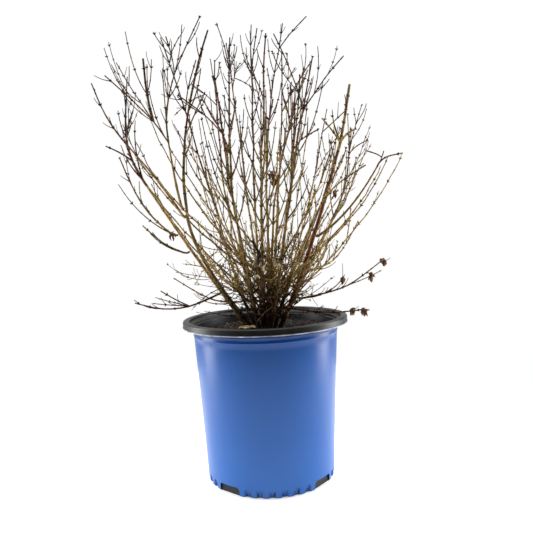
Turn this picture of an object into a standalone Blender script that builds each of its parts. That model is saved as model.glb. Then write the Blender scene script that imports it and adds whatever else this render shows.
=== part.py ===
"""Potted snowberry: a bare flowering shrub of many thin canes in a blue nursery pot.

Units are metres and +Z is up. The origin is the middle of the pot's flat underside,
-Y is the front of the plant and +X is its right. The pot is turned from its profile,
the canes are tapering curves that stand on the soil, and each mass of bare twigs
grows from the end or the side of one limb by a seeded rule.
"""

import math
import random
from collections import namedtuple

import bmesh
import bpy
from mathutils import Matrix, Vector

MM = 0.001
SEAT = 0.3 * MM

# Pot: a two-gallon nursery pot with a black body and a blue outer layer
POT_HEIGHT = 222 * MM
LIP_RADIUS = 115 * MM
LIP_INNER_RADIUS = 106 * MM
LIP_DEPTH = 8.5 * MM
LIP_ROUND = 2.6 * MM
NECK_RADIUS = 101.5 * MM
SHOULDER_RADIUS = 100.2 * MM
SHOULDER_DROP = 20 * MM
FOOT_RADIUS = 88.5 * MM
BLUE_THICKNESS = 0.8 * MM
WALL_THICKNESS = 1.4 * MM
LEDGE_THICKNESS = 1.4 * MM
FLOOR_THICKNESS = 1.6 * MM
BLUE_LIFT = 1.2 * MM
CHANNEL_HEIGHT = 12 * MM
CHANNEL_INNER_RADIUS = 60 * MM
CHANNEL_SLOPE = 1.6 * MM
FOOT_RING_WIDTH = 5 * MM
FOOT_BAND = 15 * MM
POT_SIDES = 40

# Openings round the pot's foot: four notches with six dents between each pair
NOTCH_WIDTH = 34 * MM
NOTCH_HEIGHT = 11.5 * MM
NOTCH_CORNER = 4.5 * MM
NOTCH_DEPTH = 20 * MM
NOTCH_COUNT = 4
NOTCH_TURN = math.radians(50.0)
DENT_COUNT = 6
DENT_PITCH = math.radians(10.6)
DENT_WIDTH = 9 * MM
DENT_HEIGHT = 11 * MM
DENT_DEPTH = 1.6 * MM
DRAIN_RADIUS = 5 * MM
DRAIN_RING = 71 * MM
DRAIN_DEPTH = 10 * MM

# Soil: mounded a little round the clump
SOIL_DROP = 23 * MM
SOIL_MOUND = 7 * MM
MOUND_RADIUS = 40 * MM
MOUND_FOOT_RADIUS = 68 * MM
MOUND_FOOT_RISE = 2.8 * MM
SOIL_TOP = POT_HEIGHT - SOIL_DROP + SOIL_MOUND

# Limbs
CLUMP_RADIUS = 27 * MM
CLUMP_LEAN = 160 * MM
CLUMP_PITCH = 9.5 * MM
CLUMP_ROUNDS = 60
LIMB_STEPS = 6
LIMB_TAPER = 0.6
FLARE = 1.5
FLARE_HEIGHT = 4 * MM
FLARE_END = 1.12
SIDE_TURN = 0.6

# Twigs
STEM_LENGTH = 9 * MM
STEM_SHARE = 0.9
LEADER_SHARE = 0.85
LEADER_TAPER = 0.5
LEADER_BEND = 0.4
FORK_ANGLE = math.radians(36)
FORK_COST = 3.0
FORK_BLEND = 0.3
THINNEST = 0.55 * MM
INTERNODE = 33 * MM
WANDER = 1.4 * MM
SHOOT_CHANCE = 0.7
SHOOT_LENGTHS = (22 * MM, 72 * MM)
SHOOT_ANGLES = (math.radians(20), math.radians(35))
SHOOT_SHARE = 0.72
SHOOT_LIFT = 0.35
SHOOT_GROWTH = (1.25, 0.5)
SIDE_FACTOR = 1.25
SPRAY_RADIUS = 1.1 * MM
WITHERED_SIZE = (3 * MM, 2.1 * MM, 5 * MM)
WITHERED_HANG = 4 * MM

# A cane's base stands in the clump on the side that it leans to. Places are millimetres:
# the knee that the cane bends towards, its fork, and the tips of its mass of twigs.
Cane = namedtuple("Cane", "name thickness knee fork tips")
CANES = (
    Cane("left_outer", 5.4, (-92, 5, 305), (-158, 10, 413),
         ((-179, 20, 568), (-180, 50, 528), (-210, 0, 469))),
    Cane("left_main", 6.0, (-102, -18, 320), (-98, -35, 379),
         ((-57, -48, 603), (-62, -75, 518))),
    Cane("left_back", 5.0, (-39, 22, 269), (-55, 36, 335),
         ((-138, 75, 640), (-113, 95, 646), (-86, 70, 603))),
    Cane("left_upright", 5.0, (-24, -15, 280), (-31, -22, 345),
         ((-29, -50, 592), (-47, -25, 620), (-75, -10, 531))),
    Cane("middle_upright", 4.6, (-7, 15, 295), (-7, 22, 375),
         ((-1, 45, 642), (7, 15, 626), (-15, 60, 597))),
    Cane("middle_back", 4.6, (10, 28, 293), (10, 44, 375),
         ((47, 85, 657), (83, 80, 664), (21, 110, 597))),
    Cane("right_of_middle", 4.6, (11, -17, 281), (16, -26, 340),
         ((70, -45, 548), (49, -60, 504), (40, -20, 517))),
    Cane("right_upright", 5.0, (25, 2, 299), (40, 3, 380),
         ((82, 5, 580), (123, -10, 575), (30, 20, 619))),
    Cane("right_red", 6.6, (64, -23, 299), (106, -45, 444),
         ((123, -50, 526), (133, -30, 473), (83, -70, 480))),
    Cane("right_back", 4.8, (67, 21, 287), (103, 38, 350),
         ((141, 65, 493), (166, 60, 472), (163, 85, 529))),
    Cane("back_right", 4.4, (41, 33, 278), (58, 53, 330),
         ((114, 125, 533), (142, 115, 528), (126, 165, 480))),
    Cane("front_left", 5.0, (-19, -36, 283), (-29, -58, 345),
         ((-46, -130, 522), (-89, -125, 502), (-21, -168, 482))),
    Cane("front_middle", 5.0, (-1, -30, 279), (1, -46, 340),
         ((16, -110, 574), (-4, -130, 526), (19, -180, 480))),
    Cane("front_right", 5.0, (23, -37, 285), (32, -59, 345),
         ((55, -100, 526), (45, -140, 484), (69, -160, 450))),
    Cane("front_far_right", 4.6, (38, -33, 282), (59, -54, 330),
         ((105, -115, 432), (83, -140, 441), (130, -105, 415))),
    Cane("back_left", 4.8, (-23, 32, 273), (-36, 49, 325),
         ((-62, 130, 620), (-104, 150, 590), (-137, 172, 545))),
    Cane("back_middle", 4.6, (-9, 35, 289), (-14, 52, 350),
         ((-42, 115, 641), (-22, 165, 625), (6, 185, 580))),
    Cane("back_inner", 4.6, (16, 34, 286), (23, 51, 345),
         ((46, 135, 631), (69, 160, 612), (92, 110, 608))),
)

# A bough leaves the side of its limb at the height given
Bough = namedtuple("Bough", "name limb height thickness knee fork tips")
BOUGHS = (
    Bough("left_long", "left_main", 362, 3.6, (-131, -35, 413), (-167, -38, 457),
          ((-213, -40, 544), (-193, -38, 500), (-167, -20, 504))),
    Bough("left_forked", "left_main", 371, 3.8, (-110, -40, 405), (-114, -48, 452),
          ((-63, -80, 609), (-186, -75, 543), (-185, -15, 577), (-141, -55, 568), (-109, -65, 591))),
    Bough("right_outer", "right_red", 331, 3.6, (122, -20, 358), (162, -15, 422),
          ((197, -20, 439), (170, -25, 442), (148, -15, 445))),
)

# A low spray is a mass of twigs that leaves the side of its limb at the height given.
# Withered leaves still hang at the tips of some.
Spray = namedtuple("Spray", "name limb height knee tips withered")
SPRAYS = (
    Spray("low_left", "left_main", 262, (-121, -20, 228), ((-177, -20, 251), (-141, -20, 266)), False),
    Spray("low_left_back", "left_back", 244, (-90, 45, 240), ((-134, 60, 277),), False),
    Spray("left_side_high", "left_outer", 341, (-165, -8, 375), ((-189, -10, 450),), False),
    Spray("left_side_low", "left_outer", 318, (-140, 0, 325), ((-165, 0, 357),), False),
    Spray("low_right", "right_back", 246, (125, 20, 250), ((173, 20, 293), (157, 20, 272)), True),
    Spray("right_middle", "right_back", 285, (120, 50, 290), ((147, 60, 352), (135, 50, 371)), False),
    Spray("low_right_front", "front_far_right", 238, (85, -20, 222), ((134, -40, 231),), True),
    Spray("low_front_left", "front_left", 262, (-50, -95, 275), ((-64, -160, 318),), False),
    Spray("low_front_right", "front_far_right", 268, (60, -95, 270), ((74, -150, 322),), False),
    Spray("low_back_left", "back_left", 252, (-60, 90, 260), ((-96, 160, 312),), False),
    Spray("tangle_left", "left_upright", 232, (-34, -34, 262), ((-62, -40, 302), (-45, -42, 306)), False),
    Spray("tangle_right", "right_upright", 240, (44, 14, 258), ((72, 18, 304), (55, 8, 312)), False),
    Spray("tangle_front", "front_middle", 240, (-2, -48, 262), ((-8, -74, 306), (6, -72, 300)), False),
    Spray("low_back_right", "back_inner", 252, (60, 100, 262), ((84, 168, 300),), False),
)

Twig = namedtuple("Twig", "points radii")


def millimetres(place):
    """A place given in millimetres, as a vector in metres."""
    return Vector(place) * MM


# Growth


def curve_points(start, knee, end, steps):
    """Points along the smooth curve that sets off towards the knee and stops at the end."""
    points = []
    for step in range(steps + 1):
        share = step / steps
        point = start * (1 - share) ** 2 + knee * (2 * share * (1 - share)) + end * share ** 2
        points.append(point)
    return points


def tapered(first, last, count):
    """Radii that fall evenly from first to last."""
    return [first + (last - first) * index / (count - 1) for index in range(count)]


def sideways(direction):
    """Two directions at right angles to the given one and to each other."""
    helper = Vector((0, 0, 1)) if abs(direction.z) < 0.9 else Vector((1, 0, 0))
    across = direction.cross(helper).normalized()
    return across, direction.cross(across).normalized()


def stretch_gap(start_a, end_a, start_b, end_b):
    """The least distance between two straight stretches."""
    along_a = end_a - start_a
    along_b = end_b - start_b
    offset = start_a - start_b
    aa = along_a.dot(along_a)
    bb = along_b.dot(along_b)
    ab = along_a.dot(along_b)
    ao = along_a.dot(offset)
    bo = along_b.dot(offset)
    cross = aa * bb - ab * ab
    share_a = min(max((ab * bo - ao * bb) / cross, 0.0), 1.0) if cross > 1e-14 else 0.0
    share_b = (ab * share_a + bo) / bb
    if share_b < 0.0 or share_b > 1.0:
        share_b = min(max(share_b, 0.0), 1.0)
        share_a = min(max((ab * share_b - ao) / aa, 0.0), 1.0)
    return (start_a + along_a * share_a - start_b - along_b * share_b).length


class Space:
    """The wood that is already placed, so that a new twig can be kept clear of it."""

    def __init__(self):
        self.stretches = []
        self.leaders = []

    def add(self, owner, twig, factor=SIDE_FACTOR):
        """Note a twig or a limb as taken space."""
        for index in range(len(twig.points) - 1):
            start, end = twig.points[index], twig.points[index + 1]
            radius = max(twig.radii[index], twig.radii[index + 1]) * factor
            middle, half = (start + end) / 2, (end - start).length / 2
            self.stretches.append((owner, start, end, radius, middle, half))

    def add_leader(self, owner, twig):
        """Note a leader, which also marks out its owner's own space."""
        self.add(owner, twig)
        for start, end in zip(twig.points, twig.points[1:]):
            self.leaders.append((owner, start, end))

    def is_clear(self, twig, owners):
        """Whether a twig keeps its distance from all wood that is not its owners'."""
        for index in range(len(twig.points) - 1):
            start, end = twig.points[index], twig.points[index + 1]
            radius = max(twig.radii[index], twig.radii[index + 1]) * SIDE_FACTOR
            middle, half = (start + end) / 2, (end - start).length / 2
            for owner, other_start, other_end, other_radius, other_middle, other_half in self.stretches:
                if owner in owners:
                    continue
                least = radius + other_radius + SEAT
                if (middle - other_middle).length > half + other_half + least:
                    continue
                if stretch_gap(start, end, other_start, other_end) < least:
                    return False
        return True

    def is_home(self, point, owner):
        """Whether a point is nearer to its owner's leaders than to any other mass's."""
        nearest, nearest_owner = None, None
        for leader_owner, start, end in self.leaders:
            distance = stretch_gap(point, point + Vector((0, 0, 1e-6)), start, end)
            if nearest is None or distance < nearest:
                nearest, nearest_owner = distance, leader_owner
        return nearest_owner == owner


def cane_feet():
    """Where the canes stand: each on the side that it leans to, then pushed apart."""
    feet = []
    for cane in CANES:
        lean = millimetres((cane.fork[0], cane.fork[1], 0))
        spread = CLUMP_RADIUS * min(1.0, math.sqrt(lean.length / CLUMP_LEAN))
        feet.append(lean.normalized() * spread + Vector((0, 0, SOIL_TOP + SEAT)))
    for _ in range(CLUMP_ROUNDS):
        for first in range(len(feet)):
            for second in range(first):
                apart = feet[first] - feet[second]
                short = CLUMP_PITCH - apart.length
                if short > 0:
                    feet[first] += apart.normalized() * short / 2
                    feet[second] -= apart.normalized() * short / 2
    return feet


def cane_limb(cane, foot):
    """A cane from its flat cut on the soil, with its flare, up to its fork."""
    knee, fork = millimetres(cane.knee), millimetres(cane.fork)
    neck = foot + Vector((0, 0, FLARE_HEIGHT))
    radius = cane.thickness * MM / 2
    points = [foot] + curve_points(neck, knee, fork, LIMB_STEPS)
    radii = [radius * FLARE] + tapered(radius, radius * LIMB_TAPER, LIMB_STEPS + 1)
    radii[1] = radius * FLARE_END
    return Twig(points, radii)


def limb_at(limb, height):
    """The middle, direction and radius of a limb at a height."""
    for index in range(len(limb.points) - 1):
        low, high = limb.points[index], limb.points[index + 1]
        if low.z <= height <= high.z:
            share = (height - low.z) / (high.z - low.z)
            radius = limb.radii[index] + (limb.radii[index + 1] - limb.radii[index]) * share
            return low.lerp(high, share), (high - low).normalized(), radius
    raise ValueError("a limb does not reach the height where a side limb leaves it")


def side_start(limb, height, target, radius):
    """Where a side limb starts, just clear of the limb that carries it."""
    middle, along, limb_radius = limb_at(limb, height)
    heading = (target - middle).normalized()
    across = (heading - along * heading.dot(along)).normalized()
    heading = (heading + across * SIDE_TURN).normalized()
    lean = abs(heading.dot(along))
    slant = math.sqrt(1 - lean * lean)
    reach = (limb_radius + SEAT + radius * lean) / slant
    return middle + heading * reach, heading


def bough_limb(bough, limbs):
    """A bough from the side of its limb to its own fork."""
    knee, fork = millimetres(bough.knee), millimetres(bough.fork)
    radius = bough.thickness * MM / 2
    start, heading = side_start(limbs[bough.limb], bough.height * MM, knee, radius * FLARE_END)
    neck = start + heading * FLARE_HEIGHT
    points = [start] + curve_points(neck, knee, fork, LIMB_STEPS)
    radii = [radius * FLARE_END] + tapered(radius, radius * LIMB_TAPER, LIMB_STEPS + 1)
    return Twig(points, radii)


def leader(start, knee, tip, radius, rng):
    """One long twig of a mass, which bends by its knee to its tip, a little unevenly."""
    steps = max(2, round((tip - start).length / INTERNODE))
    points = curve_points(start, knee, tip, steps)
    for index in range(1, steps):
        wander = Vector((rng.uniform(-1, 1), rng.uniform(-1, 1), rng.uniform(-1, 1)))
        points[index] = points[index] + wander * WANDER
    last = max(THINNEST, radius * LEADER_TAPER)
    return Twig(points, tapered(radius, last, steps + 1))


def stem_of(limb):
    """The start, heading and radius of the stem that goes on from a limb's end."""
    heading = (limb.points[-1] - limb.points[-2]).normalized()
    return limb.points[-1] + heading * SEAT, heading, limb.radii[-1] * STEM_SHARE


def best_fork(leaders, tip):
    """The node nearest to a tip from which it is reached without too sharp a turn."""
    best, best_cost = None, None
    for twig in leaders:
        for index in range(1, len(twig.points) - 1):
            point = twig.points[index]
            along = (twig.points[index + 1] - twig.points[index - 1]).normalized()
            reach = tip - point
            turn = along.angle(reach)
            cost = reach.length * (1 + max(0.0, turn - FORK_ANGLE) * FORK_COST)
            if best is None or cost < best_cost:
                best, best_cost = (point, along, twig.radii[index]), cost
    return best


def mass_leaders(name, start, heading, radius, tips, space, kin, knee=None):
    """The stem of a mass and the leaders that fork from it, each clear of other wood."""
    rng = random.Random(name)
    crown = start + heading * STEM_LENGTH
    first_tip = millimetres(tips[0])
    reach = (first_tip - crown).length
    knee = millimetres(knee) if knee else crown + heading * reach * LEADER_BEND
    main = leader(crown, knee, first_tip, radius, rng)
    main = Twig([start] + main.points, [radius] + main.radii)
    if not space.is_clear(main, kin):
        raise ValueError("the stem of " + name + " meets other wood")
    leaders = [main]
    for tip in tips[1:]:
        tip = millimetres(tip)
        point, along, thick = best_fork(leaders, tip)
        straight = (tip - point).normalized()
        bend = (along * FORK_BLEND + straight * (1 - FORK_BLEND)).normalized()
        knee = point + bend * (tip - point).length * LEADER_BEND
        twig = leader(point, knee, tip, thick * LEADER_SHARE, rng)
        if space.is_clear(twig, kin):
            leaders.append(twig)
    for twig in leaders:
        space.add_leader(name, twig)
    return leaders


def side_shoots(name, leaders, space):
    """Opposite shoots at each node of the leaders, each pair at right angles to the last."""
    rng = random.Random(name + " shoots")
    tips = [twig.points[-1] for twig in leaders]
    top = max(tip.z for tip in tips)
    spread = max(tip.xy.length for tip in tips)
    shoots = []
    for twig in leaders:
        for index in range(1, len(twig.points) - 1):
            along = (twig.points[index + 1] - twig.points[index - 1]).normalized()
            pair = sideways(along)[index % 2]
            growth = SHOOT_GROWTH[0] + (SHOOT_GROWTH[1] - SHOOT_GROWTH[0]) * index / (len(twig.points) - 1)
            for side in (pair, -pair):
                chance = rng.random()
                length = rng.uniform(*SHOOT_LENGTHS) * growth
                angle = rng.uniform(*SHOOT_ANGLES)
                if chance > SHOOT_CHANCE:
                    continue
                start = twig.points[index]
                heading = along * math.cos(angle) + side * math.sin(angle)
                heading = (heading + Vector((0, 0, SHOOT_LIFT))).normalized()
                end = start + heading * length
                if end.z > top or end.xy.length > spread:
                    continue
                radius = max(THINNEST, twig.radii[index] * SHOOT_SHARE)
                shoot = Twig([start, end], [radius, THINNEST])
                if space.is_home(end, name) and space.is_clear(shoot, (name,)):
                    space.add(name, shoot)
                    shoots.append(shoot)
    return shoots


def grow():
    """The limbs by name, and each mass of twigs by name."""
    space = Space()
    limbs = {cane.name: cane_limb(cane, foot) for cane, foot in zip(CANES, cane_feet())}
    for bough in BOUGHS:
        limbs[bough.name] = bough_limb(bough, limbs)
    for name, limb in limbs.items():
        space.add("limb " + name, limb, 1.0)
    masses = {}
    for row in CANES + BOUGHS:
        start, heading, radius = stem_of(limbs[row.name])
        masses[row.name] = mass_leaders(
            row.name, start, heading, radius, row.tips, space, ("limb " + row.name, row.name))
    for row in SPRAYS:
        target = millimetres(row.knee)
        start, heading = side_start(
            limbs[row.limb], row.height * MM, target, SPRAY_RADIUS * SIDE_FACTOR)
        masses[row.name] = mass_leaders(row.name, start, heading, SPRAY_RADIUS, row.tips,
                                        space, ("limb " + row.limb, row.name), row.knee)
    withered = {row.name: [twig.points[-1] for twig in masses[row.name]]
                for row in SPRAYS if row.withered}
    for name, leaders in masses.items():
        leaders.extend(side_shoots(name, leaders, space))
    return limbs, masses, withered


# Shapes


def clear_scene():
    """Remove whatever the scene starts with."""
    for thing in list(bpy.data.objects):
        bpy.data.objects.remove(thing)


def new_collection(name):
    """A collection of the scene."""
    collection = bpy.data.collections.new(name)
    bpy.context.scene.collection.children.link(collection)
    return collection


def finish(name, colour, roughness):
    """A plain Principled material."""
    material = bpy.data.materials.new(name)
    material.use_nodes = True
    shader = material.node_tree.nodes["Principled BSDF"]
    shader.inputs["Base Color"].default_value = (*colour, 1.0)
    shader.inputs["Roughness"].default_value = roughness
    return material


def place(mesh, name, collection, material=None):
    """An object of the mesh in its collection."""
    thing = bpy.data.objects.new(name, mesh)
    collection.objects.link(thing)
    if material:
        mesh.materials.append(material)
    return thing


def turned(name, profile, material, collection):
    """A turned solid: its profile runs from the axis down its outer side, back to the axis."""
    mesh = bpy.data.meshes.new(name)
    edges = [(index, index + 1) for index in range(len(profile) - 1)]
    if profile[0][0] > 0:
        edges.append((len(profile) - 1, 0))
    mesh.from_pydata([(radius, 0.0, height) for radius, height in profile], edges, [])
    thing = place(mesh, name, collection, material)
    screw = thing.modifiers.new("Turn", "SCREW")
    screw.angle = 2 * math.pi
    screw.steps = POT_SIDES
    screw.render_steps = POT_SIDES
    screw.use_merge_vertices = True
    screw.merge_threshold = 0.00001
    return thing


def wall_radius(height):
    """The outer radius of the blue wall at a height."""
    shoulder = POT_HEIGHT - SHOULDER_DROP
    if height > shoulder:
        neck = POT_HEIGHT - LIP_DEPTH
        share = (height - shoulder) / (neck - shoulder)
        return SHOULDER_RADIUS + (NECK_RADIUS - SHOULDER_RADIUS) * share
    return FOOT_RADIUS + (SHOULDER_RADIUS - FOOT_RADIUS) * height / shoulder


def black_radius(height):
    """The outer radius of the black wall, a seat inside the blue one."""
    return wall_radius(height) - BLUE_THICKNESS - SEAT


def inner_radius(height):
    """The inner radius of the black wall."""
    return black_radius(height) - WALL_THICKNESS


def pot_profile():
    """The black pot: floor, drainage channel, wall and rolled lip."""
    shoulder = POT_HEIGHT - SHOULDER_DROP
    under_lip = POT_HEIGHT - LIP_DEPTH
    ledge = under_lip + LEDGE_THICKNESS
    roof = CHANNEL_HEIGHT + FLOOR_THICKNESS
    channel_outer = black_radius(0) - FOOT_RING_WIDTH
    return [
        (0, FLOOR_THICKNESS),
        (CHANNEL_INNER_RADIUS - CHANNEL_SLOPE, FLOOR_THICKNESS),
        (CHANNEL_INNER_RADIUS, roof),
        (inner_radius(roof), roof),
        (inner_radius(shoulder), shoulder),
        (inner_radius(under_lip - LEDGE_THICKNESS), under_lip - LEDGE_THICKNESS),
        (LIP_INNER_RADIUS - LIP_ROUND, ledge),
        (LIP_INNER_RADIUS, ledge + LIP_ROUND),
        (LIP_INNER_RADIUS, POT_HEIGHT - LIP_ROUND / 2),
        (LIP_INNER_RADIUS + LIP_ROUND / 2, POT_HEIGHT),
        (LIP_RADIUS - LIP_ROUND, POT_HEIGHT),
        (LIP_RADIUS, POT_HEIGHT - LIP_ROUND),
        (LIP_RADIUS, under_lip),
        (black_radius(under_lip), under_lip),
        (black_radius(shoulder), shoulder),
        (black_radius(FOOT_BAND), FOOT_BAND),
        (black_radius(0), 0),
        (channel_outer, 0),
        (channel_outer - CHANNEL_SLOPE / 2, CHANNEL_HEIGHT),
        (CHANNEL_INNER_RADIUS + CHANNEL_SLOPE, CHANNEL_HEIGHT),
        (CHANNEL_INNER_RADIUS, 0),
        (0, 0),
    ]


def sleeve_profile():
    """The blue layer from just above the ground to just under the lip."""
    shoulder = POT_HEIGHT - SHOULDER_DROP
    top = POT_HEIGHT - LIP_DEPTH - SEAT
    return [
        (wall_radius(top), top),
        (wall_radius(shoulder), shoulder),
        (wall_radius(FOOT_BAND), FOOT_BAND),
        (wall_radius(BLUE_LIFT), BLUE_LIFT),
        (wall_radius(BLUE_LIFT) - BLUE_THICKNESS, BLUE_LIFT),
        (wall_radius(FOOT_BAND) - BLUE_THICKNESS, FOOT_BAND),
        (wall_radius(shoulder) - BLUE_THICKNESS, shoulder),
        (wall_radius(top) - BLUE_THICKNESS, top),
    ]


def soil_profile():
    """The soil: it fills the pot to a little under the lip, a seat clear of the walls."""
    floor = FLOOR_THICKNESS + SEAT
    roof = CHANNEL_HEIGHT + FLOOR_THICKNESS + SEAT
    edge = POT_HEIGHT - SOIL_DROP
    return [
        (0, SOIL_TOP),
        (MOUND_RADIUS, SOIL_TOP),
        (MOUND_FOOT_RADIUS, edge + MOUND_FOOT_RISE),
        (inner_radius(edge) - SEAT, edge),
        (inner_radius(roof) - SEAT, roof),
        (CHANNEL_INNER_RADIUS - SEAT, roof),
        (CHANNEL_INNER_RADIUS - CHANNEL_SLOPE - SEAT, floor),
        (0, floor),
    ]


def cutter(make, name, transform, collection):
    """A closed cutting shape, which the model leaves out."""
    mesh = bpy.data.meshes.new(name)
    cut = bmesh.new()
    make(cut)
    cut.transform(transform)
    cut.to_mesh(mesh)
    cut.free()
    thing = place(mesh, name, collection)
    thing.hide_render = True
    thing.display_type = "WIRE"
    return thing


def notch_shape(cut):
    """A box with its two upper corners cut off, low and wide, along +X."""
    bmesh.ops.create_cube(cut, size=1)
    bmesh.ops.scale(cut, vec=(NOTCH_DEPTH, NOTCH_WIDTH, 2 * NOTCH_HEIGHT), verts=cut.verts)
    corners = [edge for edge in cut.edges
               if all(vert.co.z > 0 for vert in edge.verts)
               and abs(edge.verts[0].co.y - edge.verts[1].co.y) < MM]
    bmesh.ops.bevel(cut, geom=corners, offset=NOTCH_CORNER, offset_type="OFFSET", segments=2,
                    profile=0.5, affect="EDGES", material=-1)


def dent_shape(cut):
    """An upright egg shape, whose upper half presses a dent with a round top."""
    bmesh.ops.create_uvsphere(cut, u_segments=6, v_segments=4, radius=1)
    bmesh.ops.scale(cut, vec=(DENT_DEPTH, DENT_WIDTH / 2, DENT_HEIGHT), verts=cut.verts)


def drain_shape(cut):
    """An upright drill."""
    bmesh.ops.create_cone(cut, cap_ends=True, segments=10, radius1=DRAIN_RADIUS,
                          radius2=DRAIN_RADIUS, depth=DRAIN_DEPTH)


def around(angle, radius, height=0.0):
    """A turn about the axis, then a step outwards and up."""
    return Matrix.Rotation(angle, 4, "Z") @ Matrix.Translation((radius, 0, height))


def foot_cutters(collection):
    """The notches, dents and drain holes round the pot's foot."""
    quarter = 2 * math.pi / NOTCH_COUNT
    notches, dents, drains = [], [], []
    for index in range(NOTCH_COUNT):
        turn = NOTCH_TURN - math.pi / 2 + index * quarter
        tag = "_" + str(index + 1)
        notches.append(cutter(notch_shape, "notch" + tag, around(turn, FOOT_RADIUS), collection))
        drains.append(cutter(drain_shape, "drain" + tag,
                             around(turn, DRAIN_RING, CHANNEL_HEIGHT), collection))
        for step in range(DENT_COUNT):
            dent_turn = turn + quarter / 2 + (step - (DENT_COUNT - 1) / 2) * DENT_PITCH
            dent_tag = tag + "_" + str(step + 1)
            dents.append(cutter(dent_shape, "dent" + dent_tag,
                                around(dent_turn, FOOT_RADIUS), collection))
    return notches, dents, drains


def cut_away(thing, cutters):
    """Take each cutter out of the object."""
    for shape in cutters:
        modifier = thing.modifiers.new(shape.name, "BOOLEAN")
        modifier.operation = "DIFFERENCE"
        modifier.solver = "EXACT"
        modifier.object = shape


def tube_curve(name, twig, collection, outline=None):
    """A tapering tube along a twig: three-sided with an outline, else six-sided."""
    curve = bpy.data.curves.new(name, "CURVE")
    curve.dimensions = "3D"
    curve.use_fill_caps = True
    if outline:
        curve.bevel_mode = "OBJECT"
        curve.bevel_object = outline
    else:
        curve.bevel_depth = 1.0
        curve.bevel_resolution = 1
    spline = curve.splines.new("POLY")
    spline.points.add(len(twig.points) - 1)
    for point, place_at, radius in zip(spline.points, twig.points, twig.radii):
        point.co = (*place_at, 1.0)
        point.radius = radius * SIDE_FACTOR if outline else radius
    thing = bpy.data.objects.new(name, curve)
    collection.objects.link(thing)
    return thing


def twig_outline(collection):
    """The three-sided outline that every twig is drawn along."""
    curve = bpy.data.curves.new("twig_outline", "CURVE")
    spline = curve.splines.new("POLY")
    spline.points.add(2)
    for index, point in enumerate(spline.points):
        angle = index * 2 * math.pi / 3
        point.co = (math.cos(angle), math.sin(angle), 0, 1)
    spline.use_cyclic_u = True
    thing = bpy.data.objects.new("twig_outline", curve)
    thing.hide_render = True
    thing.display_type = "WIRE"
    collection.objects.link(thing)
    return thing


def solid_from(curve_thing, collection):
    """A closed mesh object in place of a curve."""
    graph = bpy.context.evaluated_depsgraph_get()
    mesh = bpy.data.meshes.new_from_object(curve_thing.evaluated_get(graph))
    shape = bmesh.new()
    shape.from_mesh(mesh)
    bmesh.ops.remove_doubles(shape, verts=shape.verts, dist=1e-6)
    bmesh.ops.recalc_face_normals(shape, faces=shape.faces)
    shape.to_mesh(mesh)
    shape.free()
    thing = bpy.data.objects.new(curve_thing.name, mesh)
    thing.matrix_world = curve_thing.matrix_world
    collection.objects.link(thing)
    bpy.data.objects.remove(curve_thing)
    return thing


def withered_leaf(place_at, collection):
    """A curled dry leaf that hangs from a tip."""
    mesh = bpy.data.meshes.new("withered_leaf")
    leaf = bmesh.new()
    bmesh.ops.create_icosphere(leaf, subdivisions=1, radius=1)
    bmesh.ops.scale(leaf, vec=WITHERED_SIZE, verts=leaf.verts)
    bmesh.ops.translate(leaf, vec=place_at - Vector((0, 0, WITHERED_HANG)), verts=leaf.verts)
    leaf.to_mesh(mesh)
    leaf.free()
    return place(mesh, "withered_leaf", collection)


def union_mesh(first, group, solver):
    """The mesh of one union of an object with its collection of pieces."""
    modifier = first.modifiers.new("Join", "BOOLEAN")
    modifier.operation = "UNION"
    modifier.solver = solver
    modifier.operand_type = "COLLECTION"
    modifier.collection = group
    graph = bpy.context.evaluated_depsgraph_get()
    mesh = bpy.data.meshes.new_from_object(first.evaluated_get(graph))
    first.modifiers.remove(modifier)
    return mesh


def shells(shape):
    """The connected pieces of a mesh, each a list of its faces."""
    pending = set(shape.faces)
    pieces = []
    while pending:
        piece, rim = [], [pending.pop()]
        while rim:
            face = rim.pop()
            piece.append(face)
            for edge in face.edges:
                for neighbour in edge.link_faces:
                    if neighbour in pending:
                        pending.remove(neighbour)
                        rim.append(neighbour)
        pieces.append(piece)
    return pieces


def keep_main_shell(mesh):
    """Fill sealed hollows and drop loose scraps. Whether the rest is closed."""
    shape = bmesh.new()
    shape.from_mesh(mesh)
    pieces = sorted(shells(shape), key=len)
    for piece in pieces[:-1]:
        bmesh.ops.delete(shape, geom=piece, context="FACES")
    closed = all(len(edge.link_faces) == 2 for edge in shape.edges)
    shape.to_mesh(mesh)
    shape.free()
    return closed


def joined(name, pieces, collection, material):
    """One solid from overlapping pieces, by a single union on their collection."""
    group = new_collection(name + "_pieces")
    first = pieces[0]
    for piece in pieces[1:]:
        for holder in list(piece.users_collection):
            holder.objects.unlink(piece)
        group.objects.link(piece)
    mesh = union_mesh(first, group, "EXACT")
    if not keep_main_shell(mesh):
        mesh = union_mesh(first, group, "MANIFOLD")
        keep_main_shell(mesh)
    mesh.name = name
    mesh.materials.clear()
    place(mesh, name, collection, material)
    for piece in pieces:
        bpy.data.objects.remove(piece)
    bpy.data.collections.remove(group)


def build_pot(plant, cutters):
    """The pot, its blue layer and the soil in it."""
    black = finish("black plastic", (0.012, 0.013, 0.014), 0.5)
    blue = finish("blue plastic", (0.07, 0.17, 0.52), 0.4)
    earth = finish("potting mix", (0.02, 0.014, 0.01), 0.95)
    notches, dents, drains = foot_cutters(cutters)
    pot = turned("pot", pot_profile(), black, plant)
    cut_away(pot, notches + drains)
    sleeve = turned("pot_sleeve", sleeve_profile(), blue, plant)
    cut_away(sleeve, notches + dents)
    turned("soil", soil_profile(), earth, plant)


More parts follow.
